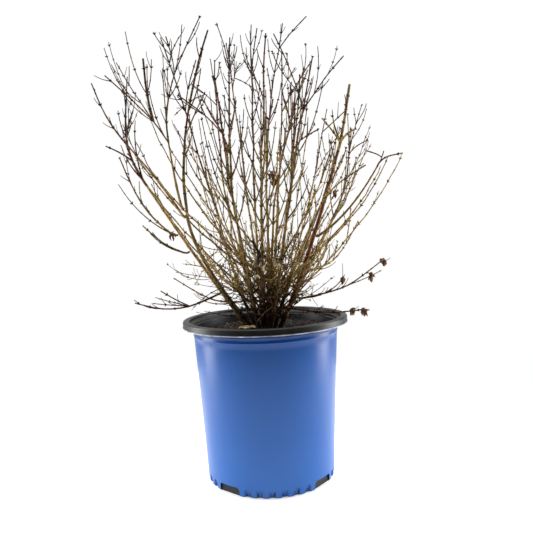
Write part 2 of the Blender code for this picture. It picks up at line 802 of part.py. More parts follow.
def build_plant(plant, pieces):
    """The canes, the boughs and the masses of twigs."""
    limbs, masses, withered = grow()
    outline = twig_outline(pieces)
    canes = {cane.name for cane in CANES}
    for name, limb in limbs.items():
        kind = "cane_" if name in canes else "bough_"
        bark = finish("bark of " + kind + name, (0.2, 0.13, 0.05), 0.8)
        thing = tube_curve(kind + name, limb, plant)
        thing.data.materials.append(bark)
    for name, twigs in masses.items():
        curves = [tube_curve("piece", twig, pieces, outline) for twig in twigs]
        solids = [solid_from(curve, pieces) for curve in curves]
        solids += [withered_leaf(tip, pieces) for tip in withered.get(name, ())]
        bark = finish("bark of twigs_" + name, (0.12, 0.05, 0.03), 0.8)
        joined("twigs_" + name, solids, plant, bark)
    bpy.data.objects.remove(outline)


def main():
    """Build the whole potted plant."""
    clear_scene()
    plant = new_collection("potted_snowberry")
    cutters = new_collection("cutters")
    pieces = new_collection("pieces")
    build_pot(plant, cutters)
    build_plant(plant, pieces)
    bpy.data.collections.remove(pieces)


if __name__ == "__main__":
    main()
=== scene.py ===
"""Potted snowberry: the looks of a bare flowering shrub in a blue nursery pot.

Units are metres and +Z is up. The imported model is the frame: the pot, the soil and the
limbs keep its places, and each mass of twigs grows from its limb by the same seeded rule,
carried on to finer twigs, buds and withered leaves.
"""

import math
import random
from collections import namedtuple

import bmesh
import bpy
from mathutils import Matrix, Vector, noise


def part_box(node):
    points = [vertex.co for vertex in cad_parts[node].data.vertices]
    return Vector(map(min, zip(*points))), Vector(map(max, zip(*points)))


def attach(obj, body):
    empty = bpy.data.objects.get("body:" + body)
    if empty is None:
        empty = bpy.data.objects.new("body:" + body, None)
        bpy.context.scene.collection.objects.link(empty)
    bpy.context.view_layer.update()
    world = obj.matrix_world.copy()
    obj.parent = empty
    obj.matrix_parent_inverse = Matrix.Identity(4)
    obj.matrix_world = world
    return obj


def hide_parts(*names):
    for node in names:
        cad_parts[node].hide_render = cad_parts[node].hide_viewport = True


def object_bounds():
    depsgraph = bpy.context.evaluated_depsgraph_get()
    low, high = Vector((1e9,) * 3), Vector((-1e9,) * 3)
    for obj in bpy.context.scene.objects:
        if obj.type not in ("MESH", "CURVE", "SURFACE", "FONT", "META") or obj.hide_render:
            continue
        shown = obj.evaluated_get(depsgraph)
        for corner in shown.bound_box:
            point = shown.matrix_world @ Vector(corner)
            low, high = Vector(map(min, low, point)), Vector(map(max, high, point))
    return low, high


bl_info = {
    "name": "Potted Snowberry",
    "version": (1, 0, 0),
    "blender": (4, 5, 0),
    "location": "View3D > Sidebar > Snowberry",
    "description": "Builds a bare snowberry bush in its nursery pot",
    "category": "Add Mesh",
}

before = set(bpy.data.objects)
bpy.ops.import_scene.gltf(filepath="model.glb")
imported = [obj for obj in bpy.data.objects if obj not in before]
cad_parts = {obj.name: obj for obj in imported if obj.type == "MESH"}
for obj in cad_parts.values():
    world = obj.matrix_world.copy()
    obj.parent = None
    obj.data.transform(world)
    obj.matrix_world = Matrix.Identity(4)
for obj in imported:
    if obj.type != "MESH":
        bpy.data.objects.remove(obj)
CAD_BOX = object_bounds()

MM = 0.001
SEAT = 0.3 * MM

# Pot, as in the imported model
POT_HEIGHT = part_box("pot")[1][2]
LIP_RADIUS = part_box("pot")[1][0]
LIP_INNER_RADIUS = 106 * MM
LIP_DEPTH = 8.5 * MM
LIP_ROUND = 2.6 * MM
NECK_RADIUS = 101.5 * MM
SHOULDER_RADIUS = 100.2 * MM
SHOULDER_DROP = 20 * MM
FOOT_RADIUS = 88.5 * MM
BLUE_THICKNESS = 0.8 * MM
WALL_THICKNESS = 1.4 * MM
LEDGE_THICKNESS = 1.4 * MM
FLOOR_THICKNESS = 1.6 * MM
BLUE_LIFT = 1.2 * MM
CHANNEL_HEIGHT = 12 * MM
CHANNEL_INNER_RADIUS = 60 * MM
CHANNEL_SLOPE = 1.6 * MM
FOOT_RING_WIDTH = 5 * MM
FOOT_BAND = 15 * MM

# Openings round the pot's foot: four notches with six dents between each pair
NOTCH_WIDTH = 34 * MM
NOTCH_HEIGHT = 11.5 * MM
NOTCH_CORNER = 4.5 * MM
NOTCH_DEPTH = 20 * MM
NOTCH_COUNT = 4
NOTCH_TURN = math.radians(50.0)
DENT_COUNT = 6
DENT_PITCH = math.radians(10.6)
DENT_WIDTH = 9 * MM
DENT_HEIGHT = 11 * MM

# Soil: mounded a little round the clump
SOIL_DROP = 23 * MM
SOIL_MOUND = 7 * MM
MOUND_RADIUS = 40 * MM
SOIL_TOP = POT_HEIGHT - SOIL_DROP + SOIL_MOUND

# Limbs
CLUMP_RADIUS = 27 * MM
CLUMP_LEAN = 160 * MM
CLUMP_PITCH = 9.5 * MM
CLUMP_ROUNDS = 60
LIMB_STEPS = 6
LIMB_TAPER = 0.6
FLARE = 1.5
FLARE_HEIGHT = 4 * MM
FLARE_END = 1.12
SIDE_TURN = 0.6

# Twigs
STEM_LENGTH = 9 * MM
STEM_SHARE = 0.9
LEADER_SHARE = 0.85
LEADER_TAPER = 0.5
LEADER_BEND = 0.4
FORK_ANGLE = math.radians(36)
FORK_COST = 3.0
FORK_BLEND = 0.3
THINNEST = 0.55 * MM
INTERNODE = 33 * MM
WANDER = 1.4 * MM
SHOOT_CHANCE = 0.7
SHOOT_LENGTHS = (22 * MM, 72 * MM)
SHOOT_ANGLES = (math.radians(20), math.radians(35))
SHOOT_SHARE = 0.72
SHOOT_LIFT = 0.35
SHOOT_GROWTH = (1.25, 0.5)
SIDE_FACTOR = 1.25
SPRAY_RADIUS = 1.1 * MM

# A cane's base stands in the clump on the side that it leans to. Places are millimetres:
# the knee that the cane bends towards, its fork, and the tips of its mass of twigs.
Cane = namedtuple("Cane", "name thickness knee fork tips")
CANES = (
    Cane("left_outer", 5.4, (-92, 5, 305), (-158, 10, 413),
         ((-179, 20, 568), (-180, 50, 528), (-210, 0, 469))),
    Cane("left_main", 6.0, (-102, -18, 320), (-98, -35, 379),
         ((-57, -48, 603), (-62, -75, 518))),
    Cane("left_back", 5.0, (-39, 22, 269), (-55, 36, 335),
         ((-138, 75, 640), (-113, 95, 646), (-86, 70, 603))),
    Cane("left_upright", 5.0, (-24, -15, 280), (-31, -22, 345),
         ((-29, -50, 592), (-47, -25, 620), (-75, -10, 531))),
    Cane("middle_upright", 4.6, (-7, 15, 295), (-7, 22, 375),
         ((-1, 45, 642), (7, 15, 626), (-15, 60, 597))),
    Cane("middle_back", 4.6, (10, 28, 293), (10, 44, 375),
         ((47, 85, 657), (83, 80, 664), (21, 110, 597))),
    Cane("right_of_middle", 4.6, (11, -17, 281), (16, -26, 340),
         ((70, -45, 548), (49, -60, 504), (40, -20, 517))),
    Cane("right_upright", 5.0, (25, 2, 299), (40, 3, 380),
         ((82, 5, 580), (123, -10, 575), (30, 20, 619))),
    Cane("right_red", 6.6, (64, -23, 299), (106, -45, 444),
         ((123, -50, 526), (133, -30, 473), (83, -70, 480))),
    Cane("right_back", 4.8, (67, 21, 287), (103, 38, 350),
         ((141, 65, 493), (166, 60, 472), (163, 85, 529))),
    Cane("back_right", 4.4, (41, 33, 278), (58, 53, 330),
         ((114, 125, 533), (142, 115, 528), (126, 165, 480))),
    Cane("front_left", 5.0, (-19, -36, 283), (-29, -58, 345),
         ((-46, -130, 522), (-89, -125, 502), (-21, -168, 482))),
    Cane("front_middle", 5.0, (-1, -30, 279), (1, -46, 340),
         ((16, -110, 574), (-4, -130, 526), (19, -180, 480))),
    Cane("front_right", 5.0, (23, -37, 285), (32, -59, 345),
         ((55, -100, 526), (45, -140, 484), (69, -160, 450))),
    Cane("front_far_right", 4.6, (38, -33, 282), (59, -54, 330),
         ((105, -115, 432), (83, -140, 441), (130, -105, 415))),
    Cane("back_left", 4.8, (-23, 32, 273), (-36, 49, 325),
         ((-62, 130, 620), (-104, 150, 590), (-137, 172, 545))),
    Cane("back_middle", 4.6, (-9, 35, 289), (-14, 52, 350),
         ((-42, 115, 641), (-22, 165, 625), (6, 185, 580))),
    Cane("back_inner", 4.6, (16, 34, 286), (23, 51, 345),
         ((46, 135, 631), (69, 160, 612), (92, 110, 608))),
)

# A bough leaves the side of its limb at the height given
Bough = namedtuple("Bough", "name limb height thickness knee fork tips")
BOUGHS = (
    Bough("left_long", "left_main", 362, 3.6, (-131, -35, 413), (-167, -38, 457),
          ((-213, -40, 544), (-193, -38, 500), (-167, -20, 504))),
    Bough("left_forked", "left_main", 371, 3.8, (-110, -40, 405), (-114, -48, 452),
          ((-63, -80, 609), (-186, -75, 543), (-185, -15, 577), (-141, -55, 568), (-109, -65, 591))),
    Bough("right_outer", "right_red", 331, 3.6, (122, -20, 358), (162, -15, 422),
          ((197, -20, 439), (170, -25, 442), (148, -15, 445))),
)

# A low spray is a mass of twigs that leaves the side of its limb at the height given.
# Withered leaves still hang at the tips of some.
Spray = namedtuple("Spray", "name limb height knee tips withered")
SPRAYS = (
    Spray("low_left", "left_main", 262, (-121, -20, 228), ((-177, -20, 251), (-141, -20, 266)), False),
    Spray("low_left_back", "left_back", 244, (-90, 45, 240), ((-134, 60, 277),), False),
    Spray("left_side_high", "left_outer", 341, (-165, -8, 375), ((-189, -10, 450),), False),
    Spray("left_side_low", "left_outer", 318, (-140, 0, 325), ((-165, 0, 357),), False),
    Spray("low_right", "right_back", 246, (125, 20, 250), ((173, 20, 293), (157, 20, 272)), True),
    Spray("right_middle", "right_back", 285, (120, 50, 290), ((147, 60, 352), (135, 50, 371)), False),
    Spray("low_right_front", "front_far_right", 238, (85, -20, 222), ((134, -40, 231),), True),
    Spray("low_front_left", "front_left", 262, (-50, -95, 275), ((-64, -160, 318),), False),
    Spray("low_front_right", "front_far_right", 268, (60, -95, 270), ((74, -150, 322),), False),
    Spray("low_back_left", "back_left", 252, (-60, 90, 260), ((-96, 160, 312),), False),
    Spray("tangle_left", "left_upright", 232, (-34, -34, 262), ((-62, -40, 302), (-45, -42, 306)), False),
    Spray("tangle_right", "right_upright", 240, (44, 14, 258), ((72, 18, 304), (55, 8, 312)), False),
    Spray("tangle_front", "front_middle", 240, (-2, -48, 262), ((-8, -74, 306), (6, -72, 300)), False),
    Spray("low_back_right", "back_inner", 252, (60, 100, 262), ((84, 168, 300),), False),
)

Twig = namedtuple("Twig", "points radii")


def millimetres(place):
    """A place given in millimetres, as a vector in metres."""
    return Vector(place) * MM


# Growth


def curve_points(start, knee, end, steps):
    """Points along the smooth curve that sets off towards the knee and stops at the end."""
    points = []
    for step in range(steps + 1):
        share = step / steps
        point = start * (1 - share) ** 2 + knee * (2 * share * (1 - share)) + end * share ** 2
        points.append(point)
    return points


def tapered(first, last, count):
    """Radii that fall evenly from first to last."""
    return [first + (last - first) * index / (count - 1) for index in range(count)]


def sideways(direction):
    """Two directions at right angles to the given one and to each other."""
    helper = Vector((0, 0, 1)) if abs(direction.z) < 0.9 else Vector((1, 0, 0))
    across = direction.cross(helper).normalized()
    return across, direction.cross(across).normalized()


def stretch_gap(start_a, end_a, start_b, end_b):
    """The least distance between two straight stretches."""
    along_a = end_a - start_a
    along_b = end_b - start_b
    offset = start_a - start_b
    aa = along_a.dot(along_a)
    bb = along_b.dot(along_b)
    ab = along_a.dot(along_b)
    ao = along_a.dot(offset)
    bo = along_b.dot(offset)
    cross = aa * bb - ab * ab
    share_a = min(max((ab * bo - ao * bb) / cross, 0.0), 1.0) if cross > 1e-14 else 0.0
    share_b = (ab * share_a + bo) / bb
    if share_b < 0.0 or share_b > 1.0:
        share_b = min(max(share_b, 0.0), 1.0)
        share_a = min(max((ab * share_b - ao) / aa, 0.0), 1.0)
    return (start_a + along_a * share_a - start_b - along_b * share_b).length


class Space:
    """The wood that is already placed, so that a new twig can be kept clear of it."""

    def __init__(self):
        self.stretches = []
        self.leaders = []

    def add(self, owner, twig, factor=SIDE_FACTOR):
        """Note a twig or a limb as taken space."""
        for index in range(len(twig.points) - 1):
            start, end = twig.points[index], twig.points[index + 1]
            radius = max(twig.radii[index], twig.radii[index + 1]) * factor
            middle, half = (start + end) / 2, (end - start).length / 2
            self.stretches.append((owner, start, end, radius, middle, half))

    def add_leader(self, owner, twig):
        """Note a leader, which also marks out its owner's own space."""
        self.add(owner, twig)
        for start, end in zip(twig.points, twig.points[1:]):
            self.leaders.append((owner, start, end))

    def is_clear(self, twig, owners):
        """Whether a twig keeps its distance from all wood that is not its owners'."""
        for index in range(len(twig.points) - 1):
            start, end = twig.points[index], twig.points[index + 1]
            radius = max(twig.radii[index], twig.radii[index + 1]) * SIDE_FACTOR
            middle, half = (start + end) / 2, (end - start).length / 2
            for owner, other_start, other_end, other_radius, other_middle, other_half in self.stretches:
                if owner in owners:
                    continue
                least = radius + other_radius + SEAT
                if (middle - other_middle).length > half + other_half + least:
                    continue
                if stretch_gap(start, end, other_start, other_end) < least:
                    return False
        return True

    def is_home(self, point, owner):
        """Whether a point is nearer to its owner's leaders than to any other mass's."""
        nearest, nearest_owner = None, None
        for leader_owner, start, end in self.leaders:
            distance = stretch_gap(point, point + Vector((0, 0, 1e-6)), start, end)
            if nearest is None or distance < nearest:
                nearest, nearest_owner = distance, leader_owner
        return nearest_owner == owner


def cane_feet():
    """Where the canes stand: each on the side that it leans to, then pushed apart."""
    feet = []
    for cane in CANES:
        lean = millimetres((cane.fork[0], cane.fork[1], 0))
        spread = CLUMP_RADIUS * min(1.0, math.sqrt(lean.length / CLUMP_LEAN))
        feet.append(lean.normalized() * spread + Vector((0, 0, SOIL_TOP + SEAT)))
    for _ in range(CLUMP_ROUNDS):
        for first in range(len(feet)):
            for second in range(first):
                apart = feet[first] - feet[second]
                short = CLUMP_PITCH - apart.length
                if short > 0:
                    feet[first] += apart.normalized() * short / 2
                    feet[second] -= apart.normalized() * short / 2
    return feet


def cane_limb(cane, foot):
    """A cane from its flat cut on the soil, with its flare, up to its fork."""
    knee, fork = millimetres(cane.knee), millimetres(cane.fork)
    neck = foot + Vector((0, 0, FLARE_HEIGHT))
    radius = cane.thickness * MM / 2
    points = [foot] + curve_points(neck, knee, fork, LIMB_STEPS)
    radii = [radius * FLARE] + tapered(radius, radius * LIMB_TAPER, LIMB_STEPS + 1)
    radii[1] = radius * FLARE_END
    return Twig(points, radii)


def limb_at(limb, height):
    """The middle, direction and radius of a limb at a height."""
    for index in range(len(limb.points) - 1):
        low, high = limb.points[index], limb.points[index + 1]
        if low.z <= height <= high.z:
            share = (height - low.z) / (high.z - low.z)
            radius = limb.radii[index] + (limb.radii[index + 1] - limb.radii[index]) * share
            return low.lerp(high, share), (high - low).normalized(), radius
    raise ValueError("a limb does not reach the height where a side limb leaves it")


def side_start(limb, height, target, radius):
    """Where a side limb starts, just clear of the limb that carries it."""
    middle, along, limb_radius = limb_at(limb, height)
    heading = (target - middle).normalized()
    across = (heading - along * heading.dot(along)).normalized()
    heading = (heading + across * SIDE_TURN).normalized()
    lean = abs(heading.dot(along))
    slant = math.sqrt(1 - lean * lean)
    reach = (limb_radius + SEAT + radius * lean) / slant
    return middle + heading * reach, heading


def bough_limb(bough, limbs):
    """A bough from the side of its limb to its own fork."""
    knee, fork = millimetres(bough.knee), millimetres(bough.fork)
    radius = bough.thickness * MM / 2
    start, heading = side_start(limbs[bough.limb], bough.height * MM, knee, radius * FLARE_END)
    neck = start + heading * FLARE_HEIGHT
    points = [start] + curve_points(neck, knee, fork, LIMB_STEPS)
    radii = [radius * FLARE_END] + tapered(radius, radius * LIMB_TAPER, LIMB_STEPS + 1)
    return Twig(points, radii)


def leader(start, knee, tip, radius, rng):
    """One long twig of a mass, which bends by its knee to its tip, a little unevenly."""
    steps = max(2, round((tip - start).length / INTERNODE))
    points = curve_points(start, knee, tip, steps)
    for index in range(1, steps):
        wander = Vector((rng.uniform(-1, 1), rng.uniform(-1, 1), rng.uniform(-1, 1)))
        points[index] = points[index] + wander * WANDER
    last = max(THINNEST, radius * LEADER_TAPER)
    return Twig(points, tapered(radius, last, steps + 1))


def stem_of(limb):
    """The start, heading and radius of the stem that goes on from a limb's end."""
    heading = (limb.points[-1] - limb.points[-2]).normalized()
    return limb.points[-1] + heading * SEAT, heading, limb.radii[-1] * STEM_SHARE


def best_fork(leaders, tip):
    """The node nearest to a tip from which it is reached without too sharp a turn."""
    best, best_cost = None, None
    for twig in leaders:
        for index in range(1, len(twig.points) - 1):
            point = twig.points[index]
            along = (twig.points[index + 1] - twig.points[index - 1]).normalized()
            reach = tip - point
            turn = along.angle(reach)
            cost = reach.length * (1 + max(0.0, turn - FORK_ANGLE) * FORK_COST)
            if best is None or cost < best_cost:
                best, best_cost = (point, along, twig.radii[index]), cost
    return best


def mass_leaders(name, start, heading, radius, tips, space, kin, knee=None):
    """The stem of a mass and the leaders that fork from it, each clear of other wood."""
    rng = random.Random(name)
    crown = start + heading * STEM_LENGTH
    first_tip = millimetres(tips[0])
    reach = (first_tip - crown).length
    knee = millimetres(knee) if knee else crown + heading * reach * LEADER_BEND
    main = leader(crown, knee, first_tip, radius, rng)
    main = Twig([start] + main.points, [radius] + main.radii)
    if not space.is_clear(main, kin):
        raise ValueError("the stem of " + name + " meets other wood")
    leaders = [main]
    for tip in tips[1:]:
        tip = millimetres(tip)
        point, along, thick = best_fork(leaders, tip)
        straight = (tip - point).normalized()
        bend = (along * FORK_BLEND + straight * (1 - FORK_BLEND)).normalized()
        knee = point + bend * (tip - point).length * LEADER_BEND
        twig = leader(point, knee, tip, thick * LEADER_SHARE, rng)
        if space.is_clear(twig, kin):
            leaders.append(twig)
    for twig in leaders:
        space.add_leader(name, twig)
    return leaders


def side_shoots(name, leaders, space):
    """Opposite shoots at each node of the leaders, each pair at right angles to the last."""
    rng = random.Random(name + " shoots")
    tips = [twig.points[-1] for twig in leaders]
    top = max(tip.z for tip in tips)
    spread = max(tip.xy.length for tip in tips)
    shoots = []
    for twig in leaders:
        for index in range(1, len(twig.points) - 1):
            along = (twig.points[index + 1] - twig.points[index - 1]).normalized()
            pair = sideways(along)[index % 2]
            growth = SHOOT_GROWTH[0] + (SHOOT_GROWTH[1] - SHOOT_GROWTH[0]) * index / (len(twig.points) - 1)
            for side in (pair, -pair):
                chance = rng.random()
                length = rng.uniform(*SHOOT_LENGTHS) * growth
                angle = rng.uniform(*SHOOT_ANGLES)
                if chance > SHOOT_CHANCE:
                    continue
                start = twig.points[index]
                heading = along * math.cos(angle) + side * math.sin(angle)
                heading = (heading + Vector((0, 0, SHOOT_LIFT))).normalized()
                end = start + heading * length
                if end.z > top or end.xy.length > spread:
                    continue
                radius = max(THINNEST, twig.radii[index] * SHOOT_SHARE)
                shoot = Twig([start, end], [radius, THINNEST])
                if space.is_home(end, name) and space.is_clear(shoot, (name,)):
                    space.add(name, shoot)
                    shoots.append(shoot)
    return shoots


def grow():
    """The limbs by name, and the leaders and shoots of each mass by name."""
    space = Space()
    limbs = {cane.name: cane_limb(cane, foot) for cane, foot in zip(CANES, cane_feet())}
    for bough in BOUGHS:
        limbs[bough.name] = bough_limb(bough, limbs)
    for name, limb in limbs.items():
        space.add("limb " + name, limb, 1.0)
    masses = {}
    for row in CANES + BOUGHS:
        start, heading, radius = stem_of(limbs[row.name])
        masses[row.name] = mass_leaders(
            row.name, start, heading, radius, row.tips, space, ("limb " + row.name, row.name))
    for row in SPRAYS:
        target = millimetres(row.knee)
        start, heading = side_start(
            limbs[row.limb], row.height * MM, target, SPRAY_RADIUS * SIDE_FACTOR)
        masses[row.name] = mass_leaders(row.name, start, heading, SPRAY_RADIUS, row.tips,
                                        space, ("limb " + row.limb, row.name), row.knee)
    withered = {row.name: [twig.points[-1] for twig in masses[row.name]]
                for row in SPRAYS if row.withered}
    for name, leaders in masses.items():
        masses[name] = (leaders, side_shoots(name, leaders, space))
    return limbs, masses, withered


def wall_radius(height):
    """The outer radius of the blue wall at a height."""
    shoulder = POT_HEIGHT - SHOULDER_DROP
    if height > shoulder:
        neck = POT_HEIGHT - LIP_DEPTH
        share = (height - shoulder) / (neck - shoulder)
        return SHOULDER_RADIUS + (NECK_RADIUS - SHOULDER_RADIUS) * share
    return FOOT_RADIUS + (SHOULDER_RADIUS - FOOT_RADIUS) * height / shoulder


def black_radius(height):
    """The outer radius of the black wall, a seat inside the blue one."""
    return wall_radius(height) - BLUE_THICKNESS - SEAT


def inner_radius(height):
    """The inner radius of the black wall."""
    return black_radius(height) - WALL_THICKNESS


# Meshes


def smooth_path(points, radii, pieces):
    """A rounder path through the points, with the radii carried along."""
    path, widths = [points[0]], [radii[0]]
    for index in range(len(points) - 1):
        before = points[max(index - 1, 0)]
        start, end = points[index], points[index + 1]
        after = points[min(index + 2, len(points) - 1)]
        for step in range(1, pieces + 1):
            t = step / pieces
            bend = (2 * before - 5 * start + 4 * end - after) * t ** 2
            twist = (3 * start - before - 3 * end + after) * t ** 3
            spot = 0.5 * (2 * start + (end - before) * t + bend + twist)
            path.append(spot)
            widths.append(radii[index] + (radii[index + 1] - radii[index]) * t)
    return Twig(path, widths)


def tube_mesh(name, twigs, tones, roundness, materials):
    """One mesh of tapering tubes, each with the material of its tone."""
    curve = bpy.data.curves.new(name, "CURVE")
    curve.dimensions = "3D"
    curve.use_fill_caps = True
    curve.bevel_depth = 1.0
    curve.bevel_resolution = roundness
    for material in materials:
        curve.materials.append(material)
    for twig, tone in zip(twigs, tones):
        spline = curve.splines.new("POLY")
        spline.points.add(len(twig.points) - 1)
        for point, spot, radius in zip(spline.points, twig.points, twig.radii):
            point.co = (*spot, 1.0)
            point.radius = radius
        spline.material_index = tone
    thing = bpy.data.objects.new(name + "_path", curve)
    bpy.context.scene.collection.objects.link(thing)
    graph = bpy.context.evaluated_depsgraph_get()
    mesh = bpy.data.meshes.new_from_object(thing.evaluated_get(graph))
    bpy.data.objects.remove(thing)
    bpy.data.curves.remove(curve)
    return mesh


def weld(mesh):
    """Close the caps and turn every face outwards."""
    shape = bmesh.new()
    shape.from_mesh(mesh)
    bmesh.ops.remove_doubles(shape, verts=shape.verts, dist=1e-6)
    bmesh.ops.recalc_face_normals(shape, faces=shape.faces)
    shape.to_mesh(mesh)
    shape.free()


def new_piece(name, mesh, materials=(), sharp=None):
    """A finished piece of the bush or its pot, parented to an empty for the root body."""
    mesh.name = name
    for material in materials:
        mesh.materials.append(material)
    mesh.shade_smooth()
    if sharp is not None:
        mesh.set_sharp_from_angle(angle=sharp)
    thing = bpy.data.objects.new(name, mesh)
    bpy.context.scene.collection.objects.link(thing)
    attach(thing, "root")
    return thing


def mesh_of(shape, name):
    """The mesh of a bmesh, which is then freed."""
    mesh = bpy.data.meshes.new(name)
    shape.to_mesh(mesh)
    shape.free()
    return mesh


# Finishes


def linear(code):
    """A linear colour from an sRGB hex code."""
    parts = [int(code[index:index + 2], 16) / 255 for index in (1, 3, 5)]
    return [part / 12.92 if part <= 0.04045 else ((part + 0.055) / 1.055) ** 2.4 for part in parts]


def add_node(tree, kind, values=None, stops=None, **settings):
    """A shader node with its settings, its input values or links, and a ramp's stops."""
    node = tree.nodes.new("ShaderNode" + kind)
    for key, value in settings.items():
        setattr(node, key, value)
    for key, value in (values or {}).items():
        if isinstance(value, bpy.types.NodeSocket):
            tree.links.new(value, node.inputs[key])
        else:
            node.inputs[key].default_value = value
    for index, (place, code) in enumerate(stops or ()):
        ramp = node.color_ramp.elements
        stop = ramp[index] if index < 2 else ramp.new(place)
        stop.position = place
        stop.color = (*linear(code), 1.0)
    return node


def surface(name, code, roughness, ior=1.45):
    """A new material, its node tree, its shader and its object coordinates."""
    material = bpy.data.materials.new(name)
    material.use_nodes = True
    tree = material.node_tree
    shader = tree.nodes["Principled BSDF"]
    shader.inputs["Base Color"].default_value = (*linear(code), 1.0)
    shader.inputs["Roughness"].default_value = roughness
    shader.inputs["IOR"].default_value = ior
    spot = add_node(tree, "TexCoord").outputs["Object"]
    return material, tree, shader, spot


def bump(tree, shader, height, distance, strength=1.0):
    """Relief on a shader from a height pattern."""
    node = add_node(tree, "Bump", {"Height": height, "Distance": distance, "Strength": strength})
    tree.links.new(node.outputs["Normal"], shader.inputs["Normal"])


def mottled(tree, shader, spot, size, stops, stretch=1.0, detail=4.0):
    """A noise of the given grain size that tints a surface; it returns the noise."""
    mapped = add_node(tree, "Mapping", {"Vector": spot, "Scale": (1 / size, 1 / size, 1 / size / stretch)})
    grain = add_node(tree, "TexNoise", {"Vector": mapped.outputs["Vector"], "Scale": 1.0, "Detail": detail,
                                        "Roughness": 0.6})
    tint = add_node(tree, "ValToRGB", {"Fac": grain.outputs["Fac"]}, stops)
    tree.links.new(tint.outputs["Color"], shader.inputs["Base Color"])
    return grain.outputs["Fac"]


FIBRE_SIZE = 2.2 * MM
FIBRE_STRETCH = 5.0
FIBRE_DEPTH = 0.25 * MM
BARK_SHEEN = 0.25


def bark(name, dark, middle, light, roughness):
    """Thin bark: dull, split lengthways into fibres, paler where it has weathered."""
    material, tree, shader, spot = surface(name, middle, roughness)
    shader.inputs["Specular IOR Level"].default_value = BARK_SHEEN
    stops = ((0.32, dark), (0.5, middle), (0.68, light))
    fibres = mottled(tree, shader, spot, FIBRE_SIZE, stops, FIBRE_STRETCH)
    bump(tree, shader, fibres, FIBRE_DEPTH)
    return material


def twig_barks():
    """Bark of five ages: straw on old wood, then olive, red-brown, dark and nearly black."""
    return [
        bark("straw bark of old twigs", "#5C4A22", "#967A3C", "#C6AA68", 0.7),
        bark("olive bark of middle twigs", "#382E14", "#665426", "#967C42", 0.65),
        bark("red-brown bark of young twigs", "#2C160A", "#522C12", "#7E4C22", 0.55),
        bark("dark bark of outer twigs", "#120B06", "#261609", "#432815", 0.5),
        bark("nearly black bark of tips", "#070504", "#120C0A", "#241813", 0.45),
    ]


# Growth carried on to finer twigs

# Fine twigs and buds at the nodes
NODE_STEP = 17 * MM
FINE_CHANCE = 0.5
LEADER_CHANCE = 0.22
RISER_CHANCE = 0.175
TANGLE_CHANCE = 0.3
RISER_TWIG_SCALE = 1.7
TANGLE_TWIG_SCALE = 0.8
TWIG_WANDER = 0.16
FINE_LENGTHS = (7 * MM, 26 * MM)
FINE_ANGLES = (math.radians(24), math.radians(48))
FINE_RADIUS = 0.5 * MM
TIP_RADIUS = 0.36 * MM
BUD_LENGTHS = (2.0 * MM, 3.8 * MM)
BUD_RADIUS = 0.8 * MM
BUD_ANGLES = (0.4, 0.8)
COLLAR_LENGTH = 2.2 * MM
COLLAR_SWELL = 1.45
COLLAR_NECK = 0.9
# Thin stems that rise from the canes' feet, and the low tangle
RISER_COUNT = 32
RISER_RADII = (1.4 * MM, 0.55 * MM)
RISER_STARTS = (5 * MM, 75 * MM)
RISER_TOPS = (300 * MM, 510 * MM)
RISER_ASIDE = 60 * MM
RISER_REACH = 195 * MM
RISER_TURN = math.radians(48)
RISER_SPREAD = 26 * MM
RISER_KNEE = 0.4
RISER_OUTWARD = (0.45, 0.85)
RISER_PITCH = 14 * MM
RISER_WANDER = 0.9 * MM
TANGLE_COUNT = 250
TANGLE_STARTS = (4 * MM, 105 * MM)
TANGLE_LENGTHS = (26 * MM, 78 * MM)
TANGLE_RADIUS = 0.75 * MM
TANGLE_SIZES = (0.6, 1.2)
TANGLE_SLOPES = (-0.35, 1.1)
TANGLE_LIFTS = (-0.5, 1.3)
SOIL_ROOM = 3 * MM
BARE_FOOT = 60 * MM
# Where the bark is pale, dark with age at the tips, or darker low down by the soil
PALE_HEIGHT = 380 * MM
DARK_HEIGHT = 590 * MM
LOW_DARK_HEIGHT = 285 * MM
INNER_REACH = 90 * MM
OUTER_REACH = 210 * MM
RISE_DARKENS = 2.2
REACH_DARKENS = 1.0
LOW_DARKENS = 3.2
TONE_SCATTER = 0.3
DARKEST = 4
# How much darker or paler than its place each kind of twig is, in steps of tone
MASS_BIAS = (-0.4, 1.0)
RISER_BIAS = (-0.6, 0.5)
TANGLE_BIASES = (-1.6, -0.6, 0.6, 1.8, 2.6)
SHOOT_DARKER = 0.2
LEADER_TWIG_DARKER = 0.3
SHOOT_TWIG_DARKER = 0.4
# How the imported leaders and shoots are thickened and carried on
LEADER_WIDER = 1.3
LEADER_LAST = 0.85 * MM
SHOOT_WIDER = 1.2
SHOOT_LAST = 0.55 * MM
SHOOT_RISE = (0.0, 0.95)
SHOOT_KNEE = 0.62
SHOOT_OUTWARD = 0.12
SHOOT_PITCH = 11 * MM
UPPER_HEIGHT = 430 * MM
UPPER_CHANCE = 0.08
SPARSE_REACH = 125 * MM
REACH_ROOM = 6 * MM
# Tips that were cut off flat (across, up), and two pieces of dead wood, in millimetres
CUT_TIPS = ((-138, 563), (123, 526))
CUT_RADIUS = 1.6 * MM
CUT_ROOM = 9 * MM
BROKEN_STEM = ((-9, -54, 297), (-4, -56, 310), (-8, -57, 321), (-12, -58, 330))
PALE_TWIG = ((1, -58, 280), (8, -60, 277), (15, -60, 280), (20, -60, 289), (21, -58, 301))


def tone_of(spot, rng, bias):
    """Which bark a stretch has: dark by the soil, then pale, and dark again at the outer tips."""
    rise = (spot.z - PALE_HEIGHT) / (DARK_HEIGHT - PALE_HEIGHT)
    outward = (spot.xy.length - INNER_REACH) / (OUTER_REACH - INNER_REACH)
    # Twigs grow darker the lower they are, towards the soil
    low_dark = (LOW_DARK_HEIGHT - spot.z) / (LOW_DARK_HEIGHT - SOIL_TOP)
    share = max(0.0, rise) * RISE_DARKENS + max(0.0, outward) * REACH_DARKENS
    share += max(0.0, low_dark) * LOW_DARKENS + bias + rng.gauss(0, TONE_SCATTER)
    return min(DARKEST, max(0, round(share)))


